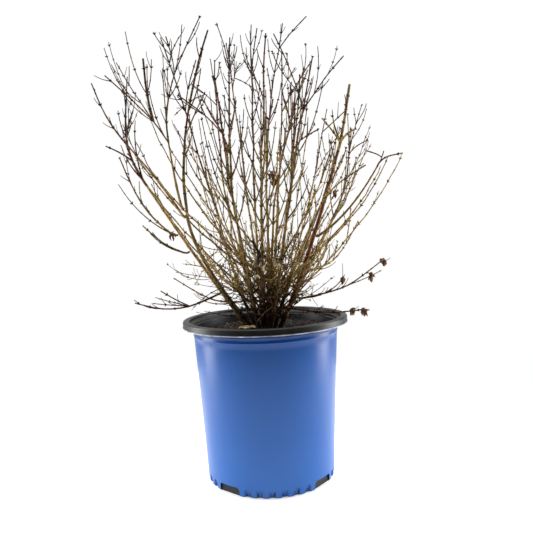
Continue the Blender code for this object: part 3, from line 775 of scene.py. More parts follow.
def walk(twig, pitch):
    """Stations along a twig: the middle, direction and radius at every pitch."""
    gone = 0.0
    due = pitch
    for index in range(len(twig.points) - 1):
        start, end = twig.points[index], twig.points[index + 1]
        length = (end - start).length
        while due <= gone + length:
            share = (due - gone) / length
            radius = twig.radii[index] + (twig.radii[index + 1] - twig.radii[index]) * share
            yield start.lerp(end, share), (end - start).normalized(), radius
            due += pitch
        gone += length


def bent_twig(start, heading, length, radius, rng, lift=0.35, steps=4, last=TIP_RADIUS):
    """A short twig that sets off at an angle and turns a little upwards."""
    turn = Vector((rng.uniform(-1, 1), rng.uniform(-1, 1), rng.uniform(-0.4, 1))) * TWIG_WANDER
    rise = (heading + Vector((0, 0, lift)) + turn).normalized()
    end = start + rise * length
    knee = start + heading * length * 0.5
    return Twig(curve_points(start, knee, end, steps), tapered(radius, last, steps + 1))


def inside(twig):
    """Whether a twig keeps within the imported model's reach."""
    low, high = CAD_BOX
    return all(low[axis] - REACH_ROOM < point[axis] < high[axis] + REACH_ROOM * (axis < 2)
               for point in (twig.points[-1],) for axis in range(3))


def fine_twigs(twig, rng, chance, scale=1.0):
    """Opposite small twigs along a twig, each pair at right angles to the last."""
    grown = []
    for count, (spot, along, radius) in enumerate(walk(twig, NODE_STEP)):
        pair = sideways(along)[count % 2]
        for side in (pair, -pair):
            length = rng.uniform(*FINE_LENGTHS) * scale
            angle = rng.uniform(*FINE_ANGLES)
            sparse = spot.z > UPPER_HEIGHT or spot.xy.length > SPARSE_REACH
            if rng.random() > (min(chance, UPPER_CHANCE) if sparse else chance):
                continue
            heading = along * math.cos(angle) + side * math.sin(angle)
            small = bent_twig(spot, heading, length, min(FINE_RADIUS * 1.3, radius * 0.8), rng)
            if inside(small):
                grown.append(small)
    return grown


def buds_along(twig, rng):
    """Opposite buds at the nodes of a twig, with a collar round each node, and one at its tip."""
    grown = []
    for count, (spot, along, radius) in enumerate(walk(twig, NODE_STEP)):
        pair = sideways(along)[count % 2]
        half = along * COLLAR_LENGTH / 2
        neck, swell = radius * COLLAR_NECK, radius * COLLAR_SWELL
        grown.append(Twig([spot - half, spot, spot + half], [neck, swell, neck]))
        for side in (pair, -pair):
            length = rng.uniform(*BUD_LENGTHS)
            angle = rng.uniform(*BUD_ANGLES)
            heading = along * math.cos(angle) + side * math.sin(angle)
            base = spot + side * radius * 0.5
            thick = min(BUD_RADIUS, radius * 0.95 + 0.15 * MM)
            grown.append(Twig([base, base + heading * length * 0.5, base + heading * length],
                              [thick * 0.7, thick, thick * 0.2]))
    return grown


def limb_foot(limbs, rng):
    """A cane picked at random, by its limb."""
    return limbs[rng.choice(CANES).name]


def risers(limbs, leaders):
    """Thin upright stems from the canes' feet that fill the middle of the bush."""
    rng = random.Random("risers")
    goals = [point for twig in leaders for point in twig.points
             if RISER_TOPS[0] < point.z < RISER_TOPS[1] and point.xy.length < RISER_REACH]
    grown = []
    while len(grown) < RISER_COUNT:
        limb = limb_foot(limbs, rng)
        spot, along, radius = limb_at(limb, SOIL_TOP + rng.uniform(*RISER_STARTS))
        reached = rng.choice(goals)
        if len(grown) % 3 and abs(reached.x) < RISER_ASIDE:
            continue
        goal = reached + Vector((rng.uniform(-1, 1), rng.uniform(-1, 1), 0)) * RISER_SPREAD
        if (goal - spot).angle(along) > RISER_TURN:
            continue
        reach = (goal - spot).length
        outward = Vector((goal.x - spot.x, goal.y - spot.y, 0)) * rng.uniform(*RISER_OUTWARD)
        knee = spot + Vector((0, 0, reach * RISER_KNEE)) + outward
        steps = max(5, round(reach / RISER_PITCH))
        points = curve_points(spot, knee, goal, steps)
        for index in range(1, steps + 1):
            wander = Vector((rng.uniform(-1, 1), rng.uniform(-1, 1), 0))
            points[index] = points[index] + wander * RISER_WANDER
        first = RISER_RADII[0] * rng.uniform(0.7, 1.1)
        grown.append(Twig(points, tapered(first, RISER_RADII[1], steps + 1)))
    return grown


def tangle(limbs):
    """Thin crossing twigs low in the clump, many of them dead."""
    rng = random.Random("tangle")
    grown = []
    for _ in range(TANGLE_COUNT):
        limb = limb_foot(limbs, rng)
        spot = limb_at(limb, SOIL_TOP + rng.uniform(*TANGLE_STARTS))[0]
        turn = rng.uniform(0, 2 * math.pi)
        slope = rng.uniform(*TANGLE_SLOPES)
        heading = Vector((math.cos(turn), math.sin(turn), slope)).normalized()
        length = rng.uniform(*TANGLE_LENGTHS)
        radius = TANGLE_RADIUS * rng.uniform(*TANGLE_SIZES)
        twig = bent_twig(spot, heading, length, radius, rng, lift=rng.uniform(*TANGLE_LIFTS), steps=6)
        if min(point.z for point in twig.points) > SOIL_TOP + SOIL_ROOM:
            grown.append(twig)
    return grown


def split_by_tone(twig, rng, bias, run):
    """A twig cut into runs, each with the bark of its place."""
    parts, tones = [], []
    for start in range(0, len(twig.points) - 1, run):
        stop = min(start + run, len(twig.points) - 1)
        parts.append(Twig(twig.points[start:stop + 1], twig.radii[start:stop + 1]))
        tones.append(tone_of(twig.points[start], rng, bias))
    return parts, tones


LIMBS, MASSES, WITHERED = grow()


def risen(shoot, top, rng):
    """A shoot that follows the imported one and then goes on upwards, as far as its mass reaches."""
    start, end = shoot.points
    along = end - start
    extra = along.length * rng.uniform(*SHOOT_RISE)
    tip = end + (Vector((0, 0, 1)) + along.normalized() * 0.5).normalized() * extra
    if tip.z > top:
        tip = end
    outward = Vector((along.x, along.y, 0)).normalized() * along.length * SHOOT_OUTWARD
    knee = start + along * SHOOT_KNEE + outward
    steps = max(4, round((tip - start).length / SHOOT_PITCH))
    first = max(shoot.radii[0] * SHOOT_WIDER, SHOOT_LAST)
    return Twig(curve_points(start, knee, tip, steps), tapered(first, SHOOT_LAST, steps + 1))


def is_cut(twig):
    """Whether a leader ends at one of the thick tips that were cut off flat."""
    tip = twig.points[-1]
    return any(math.hypot(tip.x - x * MM, tip.z - z * MM) < CUT_ROOM for x, z in CUT_TIPS)


def crown():
    """Every twig and bud above the limbs, with the tone of its bark."""
    twigs, twig_tones, buds, bud_tones = [], [], [], []

    def take(twig, rng, bias, run, with_buds=True):
        parts, tones = split_by_tone(twig, rng, bias, run)
        twigs.extend(parts)
        twig_tones.extend(tones)
        if with_buds:
            found = buds_along(twig, rng)
            buds.extend(found)
            bud_tones.extend(min(DARKEST, tone_of(bud.points[1], rng, bias) + 1) for bud in found)

    for name, (leaders, shoots) in MASSES.items():
        rng = random.Random(name + " fine")
        bias = rng.uniform(*MASS_BIAS)
        top = max(twig.points[-1].z for twig in leaders)
        for twig in leaders:
            last = CUT_RADIUS if is_cut(twig) else LEADER_LAST
            radii = [max(last, radius * LEADER_WIDER) for radius in twig.radii]
            smooth = smooth_path(twig.points, radii, 3)
            take(smooth, rng, bias, 3)
            for small in fine_twigs(smooth, rng, LEADER_CHANCE):
                take(small, rng, bias + LEADER_TWIG_DARKER, 4, False)
        for shoot in shoots:
            bent = risen(shoot, top, rng)
            take(bent, rng, bias + SHOOT_DARKER, 3)
            for small in fine_twigs(bent, rng, FINE_CHANCE):
                take(small, rng, bias + SHOOT_TWIG_DARKER, 4, False)
    all_leaders = [twig for leaders, shoots in MASSES.values() for twig in leaders]
    for twig in risers(LIMBS, all_leaders):
        rng = random.Random(len(twigs))
        take(twig, rng, rng.uniform(*RISER_BIAS), 4)
        for small in fine_twigs(twig, rng, RISER_CHANCE, RISER_TWIG_SCALE):
            if small.points[0].z > SOIL_TOP + BARE_FOOT:
                take(small, rng, 0.1, 4)
    for twig in tangle(LIMBS):
        rng = random.Random(len(twigs))
        take(twig, rng, rng.choice(TANGLE_BIASES), 6)
        for small in fine_twigs(twig, rng, TANGLE_CHANCE, TANGLE_TWIG_SCALE):
            take(small, rng, 0.3, 4, False)
    for places, radius, tone in ((BROKEN_STEM, 2.1 * MM, DARKEST), (PALE_TWIG, 0.9 * MM, 0)):
        points = [millimetres(place) for place in places]
        twigs.append(smooth_path(points, tapered(radius, radius * 0.8, len(points)), 5))
        twig_tones.append(tone)
    return twigs, twig_tones, buds, bud_tones


CROWN = crown()


# Pot shapes


def rounded(profile, steps=4):
    """A profile with an arc at each corner that has a rounding: (radius, height, rounding)."""
    path = []
    for index, (radius, height, rounding) in enumerate(profile):
        corner = Vector((radius, height))
        if not rounding:
            path.append(corner)
            continue
        before = Vector(profile[index - 1][:2])
        after = Vector(profile[(index + 1) % len(profile)][:2])
        first = corner + (before - corner).normalized() * rounding
        last = corner + (after - corner).normalized() * rounding
        path.extend(curve_points(first, corner, last, steps))
    return path


def spun(path, steps):
    """A bmesh turned about the pot's axis from a path of radii and heights."""
    shape = bmesh.new()
    verts = [shape.verts.new((spot[0], 0, spot[1])) for spot in path]
    edges = [shape.edges.new(pair) for pair in zip(verts, verts[1:])]
    if path[0][0] > MM:
        edges.append(shape.edges.new((verts[-1], verts[0])))
    bmesh.ops.spin(shape, geom=verts + edges, cent=(0, 0, 0), axis=(0, 0, 1), angle=2 * math.pi,
                   steps=steps, use_merge=True)
    bmesh.ops.remove_doubles(shape, verts=shape.verts, dist=1e-6)
    bmesh.ops.recalc_face_normals(shape, faces=shape.faces)
    return shape


def notch_angles():
    """The directions of the notches round the pot's foot."""
    quarter = 2 * math.pi / NOTCH_COUNT
    return [NOTCH_TURN - math.pi / 2 + index * quarter for index in range(NOTCH_COUNT)]


def notched(mesh, depth):
    """The mesh with the notches cut out of its foot, so far in from the outside."""
    scene = bpy.context.scene
    body = bpy.data.objects.new("body", mesh)
    scene.collection.objects.link(body)
    cutters = []
    for angle in notch_angles():
        cut = bmesh.new()
        bmesh.ops.create_cube(cut, size=1)
        bmesh.ops.scale(cut, vec=(NOTCH_DEPTH, NOTCH_WIDTH, 2 * NOTCH_HEIGHT), verts=cut.verts)
        corners = [edge for edge in cut.edges
                   if all(vert.co.z > 0 for vert in edge.verts)
                   and abs(edge.verts[0].co.y - edge.verts[1].co.y) < MM]
        bmesh.ops.bevel(cut, geom=corners, offset=NOTCH_CORNER, offset_type="OFFSET", segments=6,
                        profile=0.5, affect="EDGES", material=-1)
        outward = Matrix.Translation((FOOT_RADIUS + NOTCH_DEPTH / 2 - depth, 0, 0))
        cut.transform(Matrix.Rotation(angle, 4, "Z") @ outward)
        cutter = bpy.data.objects.new("cutter", mesh_of(cut, "cutter"))
        scene.collection.objects.link(cutter)
        cutters.append(cutter)
        boolean = body.modifiers.new("Notch", "BOOLEAN")
        boolean.operation = "DIFFERENCE"
        boolean.solver = "EXACT"
        boolean.object = cutter
    graph = bpy.context.evaluated_depsgraph_get()
    result = bpy.data.meshes.new_from_object(body.evaluated_get(graph))
    for thing in cutters + [body]:
        bpy.data.objects.remove(thing)
    return result


DENT_EDGE = 1.3 * MM
BLUE_PRESS = 3.3 * MM
BLACK_PRESS = 2.2 * MM
BLACK_NOTCH = 3.5 * MM


def press_dents(mesh, depth):
    """Press the round-topped dents into the outer wall of a layer of the pot."""
    shape = bmesh.new()
    shape.from_mesh(mesh)
    quarter = 2 * math.pi / NOTCH_COUNT
    middles = [angle + quarter / 2 + (step - (DENT_COUNT - 1) / 2) * DENT_PITCH
               for angle in notch_angles() for step in range(DENT_COUNT)]
    half = DENT_WIDTH / 2
    for vert in shape.verts:
        if vert.co.z > DENT_HEIGHT or vert.co.xy.length < black_radius(vert.co.z) - 0.5 * MM:
            continue
        turn = math.atan2(vert.co.y, vert.co.x)
        nearest = min(abs((turn - middle + math.pi) % (2 * math.pi) - math.pi) for middle in middles)
        aside = nearest * FOOT_RADIUS
        above = max(0.0, vert.co.z - (DENT_HEIGHT - half))
        gap = half - math.hypot(aside, above)
        if gap > 0:
            share = min(1.0, gap / DENT_EDGE)
            press = depth * share * share * (3 - 2 * share)
            vert.co.xy *= 1 - press / vert.co.xy.length
    shape.to_mesh(mesh)
    shape.free()


def jittered(shape, size, amount, seed):
    """Move the points of a bmesh by a smooth noise."""
    for vert in shape.verts:
        vert.co += noise.noise_vector(vert.co / size + Vector((seed, 0, 0))) * amount
    return shape


# Pieces


def black_plastic():
    """Moulded black polyethylene: satin, a little dusty, with an orange-peel skin."""
    material, tree, shader, spot = surface("moulded black polyethylene", "#0F1110", 0.4, 1.51)
    shader.inputs["Specular IOR Level"].default_value = 0.4
    dust = mottled(tree, shader, spot, 9 * MM, ((0.35, "#0B0C0D"), (0.6, "#151617"), (0.85, "#24231F")))
    bump(tree, shader, dust, 0.12 * MM, 0.5)
    return material


def blue_plastic_with_painted_shade():
    """Moulded blue polyethylene: satin with a soft sheen; painted light from the floor makes it paler at
    the foot, painted shade deepens the blue towards the lip, and a painted shadow of the lip darkens the
    top.
    """
    material, tree, shader, spot = surface("moulded blue polyethylene", "#1A5AB2", 0.3, 1.51)
    shader.inputs["Specular IOR Level"].default_value = 0.35
    tone = mottled(tree, shader, spot, 60 * MM, ((0.3, "#1755AC"), (0.8, "#1D60BC")), 0.4)
    # Painted light and shade by height: the blue is lighter low down and deeper high up the wall
    height = add_node(tree, "SeparateXYZ", {"Vector": spot}).outputs["Z"]
    rise = add_node(tree, "MapRange", {"Value": height, "From Min": 0.0, "From Max": POT_HEIGHT,
                                       "To Min": -0.05, "To Max": 0.95})
    patch = add_node(tree, "Math", {0: tone, 1: 0.12}, operation="MULTIPLY")
    share = add_node(tree, "Math", {0: rise.outputs["Result"], 1: patch.outputs["Value"]}, operation="ADD")
    # Stops: painted floor light at the foot, painted shade up the wall, and the lip's painted shadow in the
    # last stop
    tint = add_node(tree, "ValToRGB", {"Fac": share.outputs["Value"]},
                    ((0.0, "#2C6ABA"), (0.35, "#1C5CAC"), (0.75, "#1453A0"),
                     (0.92, "#114C98"), (0.96, "#093070")))
    tree.links.new(tint.outputs["Color"], shader.inputs["Base Color"])
    skin = add_node(tree, "TexNoise", {"Vector": spot, "Scale": 420.0, "Detail": 2.0})
    bump(tree, shader, skin.outputs["Fac"], 0.05 * MM, 0.6)
    return material


def potting_mix():
    """Moist bark and peat: nearly black crumbs with brown fibres."""
    material, tree, shader, spot = surface("moist bark and peat", "#0D0906", 0.95)
    crumbs = mottled(tree, shader, spot, 2.5 * MM, ((0.35, "#040302"), (0.58, "#0D0906"), (0.8, "#2A1C11")))
    bump(tree, shader, crumbs, 1.2 * MM)
    return material


def plain(name, code, roughness, dark, light, size):
    """A small thing's finish with a soft mottle of its own."""
    material, tree, shader, spot = surface(name, code, roughness)
    tone = mottled(tree, shader, spot, size, ((0.35, dark), (0.55, code), (0.75, light)))
    bump(tree, shader, tone, 0.3 * MM)
    return material


class PotSettings(bpy.types.PropertyGroup):
    """Sizes of the pot's fine shape."""

    lip_bead: bpy.props.FloatProperty(
        name="Lip bead", description="Thickness of the bead under the lip", default=0.7 * MM,
        unit="LENGTH", subtype="DISTANCE")
    ridge: bpy.props.FloatProperty(
        name="Neck ridge", description="How far the ridge at the neck stands out", default=0.6 * MM,
        unit="LENGTH", subtype="DISTANCE")
    sides: bpy.props.IntProperty(name="Sides", description="Sides of the turned walls", default=640)


class SoilSettings(bpy.types.PropertyGroup):
    """Numbers and sizes for the potting mix."""

    relief: bpy.props.FloatProperty(
        name="Relief", description="Height of the crumbs", default=4.2 * MM,
        unit="LENGTH", subtype="DISTANCE")
    chips: bpy.props.IntProperty(name="Chips", description="Number of bark chips", default=420)
    grains: bpy.props.IntProperty(name="Grains", description="Number of white grains", default=46)


class StageSettings(bpy.types.PropertyGroup):
    """Colours and strengths of the studio."""

    floor_colour: bpy.props.FloatVectorProperty(
        name="Floor colour", description="Colour of the pale floor", subtype="COLOR", size=3,
        default=linear("#F4F4F4"))
    floor_glow: bpy.props.FloatProperty(
        name="Floor glow", description="Light that the floor gives, as a light table does", default=0.3)
    side_power: bpy.props.FloatProperty(
        name="Side light", description="Power of each side light in watts", default=8.0)
    top_power: bpy.props.FloatProperty(
        name="Top light", description="Power of the light above in watts", default=8.0)


class SNOWBERRY_OT_pot(bpy.types.Operator):
    """Add the black pot with its rolled lip, drainage channel and notches"""

    bl_idname = "snowberry.pot"
    bl_label = "Black Pot"

    def execute(self, context):
        settings = context.scene.snowberry_pot
        shoulder = POT_HEIGHT - SHOULDER_DROP
        under = POT_HEIGHT - LIP_DEPTH
        ledge = under + LEDGE_THICKNESS
        roof = CHANNEL_HEIGHT + FLOOR_THICKNESS
        ring = black_radius(0) - FOOT_RING_WIDTH
        bead = settings.lip_bead
        path = rounded([
            (0, FLOOR_THICKNESS, 0),
            (CHANNEL_INNER_RADIUS - CHANNEL_SLOPE, FLOOR_THICKNESS, 0),
            (CHANNEL_INNER_RADIUS, roof, 0),
            (inner_radius(roof), roof, 0),
            (inner_radius(shoulder), shoulder, 0),
            (inner_radius(under - LEDGE_THICKNESS), under - LEDGE_THICKNESS, 0),
            (LIP_INNER_RADIUS - LIP_ROUND, ledge, 1 * MM),
            (LIP_INNER_RADIUS, ledge + LIP_ROUND, 1.2 * MM),
            (LIP_INNER_RADIUS, POT_HEIGHT, 1.6 * MM),
            (LIP_RADIUS, POT_HEIGHT, LIP_ROUND),
            (LIP_RADIUS - bead / 2, under + 3 * bead, 0),
            (LIP_RADIUS, under + 2 * bead, bead / 2),
            (LIP_RADIUS, under, bead / 2),
            (LIP_RADIUS - 2.4 * MM, under, 0.5 * MM),
            (LIP_RADIUS - 2.8 * MM, under + 1.2 * MM, 0.5 * MM),
            (black_radius(under), under + 1.2 * MM, 0),
            (black_radius(shoulder), shoulder, 0),
            *[(black_radius(FOOT_BAND * row / 12), FOOT_BAND * row / 12, 0) for row in range(12, 0, -1)],
            (black_radius(0), 0, 0.4 * MM),
            (ring, 0, 0.6 * MM),
            (ring - CHANNEL_SLOPE / 2, CHANNEL_HEIGHT, 1 * MM),
            (CHANNEL_INNER_RADIUS + CHANNEL_SLOPE, CHANNEL_HEIGHT, 1 * MM),
            (CHANNEL_INNER_RADIUS, 0, 0.6 * MM),
            (0, 0, 0),
        ])
        mesh = notched(mesh_of(spun(path, settings.sides // 2), "pot_black"), BLACK_NOTCH)
        press_dents(mesh, BLACK_PRESS)
        pot = new_piece("pot_black", mesh, [black_plastic()], math.radians(32))
        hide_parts("pot")
        # A pale ring along the lip's lower edge: a painted highlight where the bead catches the light
        middle = LIP_RADIUS - 0.1 * MM
        edge = [(middle + 0.7 * MM * math.cos(turn), under + 0.7 * MM * math.sin(turn))
                for turn in (index * math.pi / 4 for index in range(8))]
        lip_highlight = plain("worn pale edge of the lip", "#AEB4BB", 0.45, "#7C828A", "#DADEE2", 12 * MM)
        ring = spun([Vector(spot) for spot in edge], settings.sides // 2)
        new_piece("lip_edge", mesh_of(ring, "lip_edge"), [lip_highlight])
        return {"FINISHED"}


# The ridge's share of its full size at each millimetre above or below its middle
RIDGE_PROFILE = ((0.0, 1.6), (0.5, 1.1), (1.0, 0.4), (1.0, -0.4), (0.5, -1.1), (0.0, -1.6))
UPPER_RIDGE_RISE = 7 * MM


class SNOWBERRY_OT_sleeve(bpy.types.Operator):
    """Add the pot's blue outer layer with its ridge, notches and dents"""

    bl_idname = "snowberry.sleeve"
    bl_label = "Blue Layer"

    def execute(self, context):
        settings = context.scene.snowberry_pot
        shoulder = POT_HEIGHT - SHOULDER_DROP
        top = POT_HEIGHT - LIP_DEPTH - SEAT
        outer = [(wall_radius(top), top)]
        for middle, size in ((shoulder + UPPER_RIDGE_RISE, 0.6), (shoulder, 1.0)):
            for share, lift in RIDGE_PROFILE:
                height = middle + lift * MM
                outer.append((wall_radius(height) + settings.ridge * size * share, height))
        rows = 24
        for row in range(1, rows):
            height = shoulder - 2 * MM - (shoulder - 2 * MM - FOOT_BAND) * row / rows
            outer.append((wall_radius(height), height))
        band = 14
        for row in range(band + 1):
            height = FOOT_BAND + (BLUE_LIFT - FOOT_BAND) * row / band
            outer.append((wall_radius(height), height))
        inner = [(wall_radius(height) - BLUE_THICKNESS, height)
                 for height in (BLUE_LIFT, FOOT_BAND, shoulder, top)]
        shape = spun(outer + inner, settings.sides)
        mesh = notched(mesh_of(shape, "pot_blue"), NOTCH_DEPTH / 2)
        press_dents(mesh, BLUE_PRESS)
        sleeve = new_piece("pot_blue", mesh, [blue_plastic_with_painted_shade()], math.radians(50))
        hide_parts("pot_sleeve")
        return {"FINISHED"}


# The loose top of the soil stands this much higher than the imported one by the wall
SOIL_LIFT = 4.5 * MM
BIT_TILT = 0.4
LEAF_LENGTH = 11 * MM
LEAF_WIDTH = 4 * MM
LEAF_CURL = 1.9
LEAF_PLACE = (-25 * MM, -38 * MM)
LEAF_LIFT = 7 * MM


def soil_height(radius):
    """The height of the soil's mean surface at a radius."""
    edge = POT_HEIGHT - SOIL_DROP + SOIL_LIFT
    rim = inner_radius(edge) - SEAT
    share = min(1.0, max(0.0, (radius - MOUND_RADIUS * 0.5) / (rim - MOUND_RADIUS * 0.5)))
    return SOIL_TOP + (edge - SOIL_TOP) * share * share * (3 - 2 * share)


class SNOWBERRY_OT_soil(bpy.types.Operator):
    """Add the potting mix with its crumbs, bark chips, white grains and a fallen leaf"""

    bl_idname = "snowberry.soil"
    bl_label = "Potting Mix"

    def execute(self, context):
        settings = context.scene.snowberry_soil
        edge = POT_HEIGHT - SOIL_DROP + SOIL_LIFT
        rim = inner_radius(edge) - SEAT
        floor = FLOOR_THICKNESS + SEAT
        roof = CHANNEL_HEIGHT + FLOOR_THICKNESS + SEAT
        rings = 64
        path = [(rim * ring / rings, soil_height(rim * ring / rings)) for ring in range(rings + 1)]
        path += [(inner_radius(roof) - SEAT, roof), (CHANNEL_INNER_RADIUS - SEAT, roof),
                 (CHANNEL_INNER_RADIUS - CHANNEL_SLOPE - SEAT, floor), (0, floor)]
        shape = spun(path, 220)
        for vert in shape.verts:
            if vert.co.z > edge - MM and vert.co.xy.length < rim - 0.5 * MM:
                crumb = noise.fractal(vert.co / (7 * MM), 0.8, 2.1, 5) * 0.5
                vert.co.z += (crumb - 0.1) * settings.relief
        soil = new_piece("soil_surface", mesh_of(shape, "soil_surface"), [potting_mix()])
        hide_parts("soil")
        self.scatter("soil_chips", settings.chips, (2.6, 8.5), (0.45, 0.28), 1, "#4B3322",
                     "#1B120B", "#8E6843", rim)
        self.scatter("soil_grains", settings.grains, (1.0, 2.4), (0.85, 0.75), 2, "#D9D5CC",
                     "#B9B3A6", "#F2EFE8", rim)
        self.fallen_leaf()
        return {"FINISHED"}

    def scatter(self, name, count, sizes, flatness, seed, code, dark, light, rim):
        """Many small bits that lie on the soil, joined into one piece."""
        rng = random.Random(name)
        bits = bmesh.new()
        for index in range(count):
            radius = math.sqrt(rng.random()) * (rim - 6 * MM)
            turn = rng.uniform(0, 2 * math.pi)
            size = rng.uniform(*sizes) * MM / 2
            made = bmesh.ops.create_icosphere(bits, subdivisions=1, radius=1)["verts"]
            bmesh.ops.scale(bits, vec=(size, size * flatness[0], size * flatness[1]), verts=made)
            for vert in made:
                vert.co += noise.noise_vector(vert.co / size * 1.3 + Vector((index, 0, 0))) * size * 0.3
            tilt = Matrix.Rotation(rng.gauss(0, BIT_TILT), 4, "X")
            tilt = tilt @ Matrix.Rotation(rng.gauss(0, BIT_TILT), 4, "Y")
            lie = Matrix.Translation((radius * math.cos(turn), radius * math.sin(turn),
                                      soil_height(radius) + size * 0.2))
            turned = lie @ Matrix.Rotation(rng.uniform(0, 6.3), 4, "Z") @ tilt
            bmesh.ops.transform(bits, matrix=turned, verts=made)
        finish = plain(name.replace("_", " "), code, 0.9, dark, light, 3 * MM)
        piece = new_piece(name, mesh_of(bits, name), [finish])
        piece.data.shade_flat()

    def fallen_leaf(self):
        """A pale crumpled leaf near the front of the pot."""
        shape = bmesh.new()
        bmesh.ops.create_grid(shape, x_segments=14, y_segments=9, size=1)
        for vert in shape.verts:
            along, across = vert.co.x, vert.co.y
            width = LEAF_WIDTH * math.sqrt(max(0.0, 1 - along * along)) + 0.3 * MM
            curl = LEAF_CURL * across
            rise = (1 - math.cos(curl)) * width * 0.5
            vert.co = Vector((along * LEAF_LENGTH, math.sin(curl) * width * 0.8, rise))
        jittered(shape, 6 * MM, 2.2 * MM, 3)
        place = (*LEAF_PLACE, soil_height(45 * MM) + LEAF_LIFT)
        turn = Matrix.Rotation(0.25, 4, "Z") @ Matrix.Rotation(0.3, 4, "X")
        turn = Matrix.Translation(place) @ turn
        bmesh.ops.transform(shape, matrix=turn, verts=shape.verts)
        bmesh.ops.solidify(shape, geom=shape.faces[:], thickness=0.35 * MM)
        bmesh.ops.recalc_face_normals(shape, faces=shape.faces)
        finish = plain("dry pale leaf", "#DCC9A0", 0.8, "#A98C60", "#F2E8CF", 3 * MM)
        new_piece("fallen_leaf", mesh_of(shape, "fallen_leaf"), [finish])


CANE_PITCH = 1.6 * MM
CANE_NODE = 31 * MM
BARK_RELIEF = 0.16 * MM
CANE_SINK = 6 * MM
SUNK_FLARE = 1.15
NODE_SWELL = 0.2
NODE_HALF = 2 * MM
STREAK_WIDTH = 1.1 * MM
STREAK_LENGTH = 7 * MM
KNOT_SIZE = 6 * MM
KNOT_SHARE = 0.7
DARK_FOOT_SPANS = (12 * MM, 42 * MM)


def detailed_limb(limb, rng):
    """A limb with fine stations, a swelling at each node and a foot sunk in the soil."""
    points, radii = list(limb.points), list(limb.radii)
    if abs(points[0].z - SOIL_TOP) < MM:
        points.insert(0, points[0] - Vector((0, 0, CANE_SINK)))
        radii.insert(0, radii[0] * SUNK_FLARE)
    rough = smooth_path(points, radii, 10)
    stations = list(walk(rough, CANE_PITCH))
    spots = [rough.points[0]] + [station[0] for station in stations] + [rough.points[-1]]
    widths = [rough.radii[0]] + [station[2] for station in stations] + [rough.radii[-1]]
    offset = rng.uniform(0, CANE_NODE)
    for index in range(len(widths)):
        away = abs((index * CANE_PITCH - offset) % CANE_NODE - CANE_NODE / 2)
        widths[index] *= 1 + NODE_SWELL * math.exp(-(away / NODE_HALF) ** 2)
    return Twig(spots, widths)


class SNOWBERRY_OT_canes(bpy.types.Operator):
    """Add the canes and boughs with their bark relief"""

    bl_idname = "snowberry.canes"
    bl_label = "Canes and Boughs"

    def execute(self, context):
        rng = random.Random("canes")
        limbs, tones = [], []
        for name, limb in LIMBS.items():
            whole = detailed_limb(limb, rng)
            own = {"left_main": 1, "right_red": 2}.get(name, rng.choice((0, 0, 1)))
            # Each cane's bark is darkest at its foot by the soil, then olive, then its own
            low_dark = SOIL_TOP + rng.uniform(*DARK_FOOT_SPANS)
            bounds = (low_dark, low_dark + rng.uniform(*DARK_FOOT_SPANS))
            shades = [sum(point.z > bound for bound in bounds) for point in whole.points]
            for shade, tone in enumerate((3, 1, own)):
                run = [index for index, found in enumerate(shades) if found == shade]
                if len(run) > 1:
                    stop = min(run[-1] + 2, len(whole.points))
                    limbs.append(Twig(whole.points[run[0]:stop], whole.radii[run[0]:stop]))
                    tones.append(tone)
        kinds = [
            bark("straw bark of old canes", "#6A5230", "#A08452", "#CDB684", 0.75),
            bark("olive bark of old canes", "#47371F", "#7A6136", "#A98C54", 0.72),
            bark("red-brown bark of strong canes", "#33190F", "#6B3A1E", "#A0683A", 0.55),
            bark("dark damp bark at the canes' feet", "#0E0906", "#241910", "#5A4428", 0.8),
        ]
        mesh = tube_mesh("canes", limbs, tones, 4, kinds)
        weld(mesh)
        for vert in mesh.vertices:
            spot = vert.co.copy()
            grain = Vector((spot.x / STREAK_WIDTH, spot.y / STREAK_WIDTH, spot.z / STREAK_LENGTH))
            knot = noise.noise(spot / KNOT_SIZE)
            vert.co += vert.normal * (noise.noise(grain) + KNOT_SHARE * knot) * BARK_RELIEF
        canes = new_piece("canes", mesh)
        names = ["cane_" + cane.name for cane in CANES] + ["bough_" + bough.name for bough in BOUGHS]
        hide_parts(*names)
        return {"FINISHED"}


class SNOWBERRY_OT_twigs(bpy.types.Operator):
    """Add every twig of the crown and the buds at their nodes"""

    bl_idname = "snowberry.twigs"
    bl_label = "Twigs and Buds"

    def execute(self, context):
        twigs, twig_tones, buds, bud_tones = CROWN
        barks = twig_barks()
        mesh = tube_mesh("twigs", twigs, twig_tones, 0, barks)
        weld(mesh)
        piece = new_piece("twigs", mesh)
        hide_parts(*["twigs_" + name for name in MASSES])
        mesh = tube_mesh("buds", buds, bud_tones, 0, barks)
        weld(mesh)
        new_piece("buds", mesh)
        return {"FINISHED"}


WITHERED_SPOTS = ((12, -40, 415), (17, -40, 408), (27, -50, 294), (157, 20, 273), (134, -40, 230),
                  (118, -40, 230), (116, 0, 267), (105, 0, 389), (-130, -10, 337))
PALE_SPOTS = ((-7, -62, 288), (5, -62, 293), (-10, -62, 309), (11, -62, 301), (24, -62, 296))
BERRY_RADII = (1.5 * MM, 2.3 * MM)
DRY_LEAF_LENGTHS = (4 * MM, 7 * MM)
DRY_LEAF_WIDTHS = (2.2 * MM, 3.8 * MM)
DRY_LEAF_CURL = 2.2


def nearest_twig(place):
    """The point of the crown's twigs that the camera sees nearest to a place, no further back."""
    spot = millimetres(place)
    weight = Vector((2, 0.5, 2))
    back = spot.y + 25 * MM
    return min((point for twig in CROWN[0] for point in twig.points if point.y < back),
               key=lambda point: ((point - spot) * weight).length)


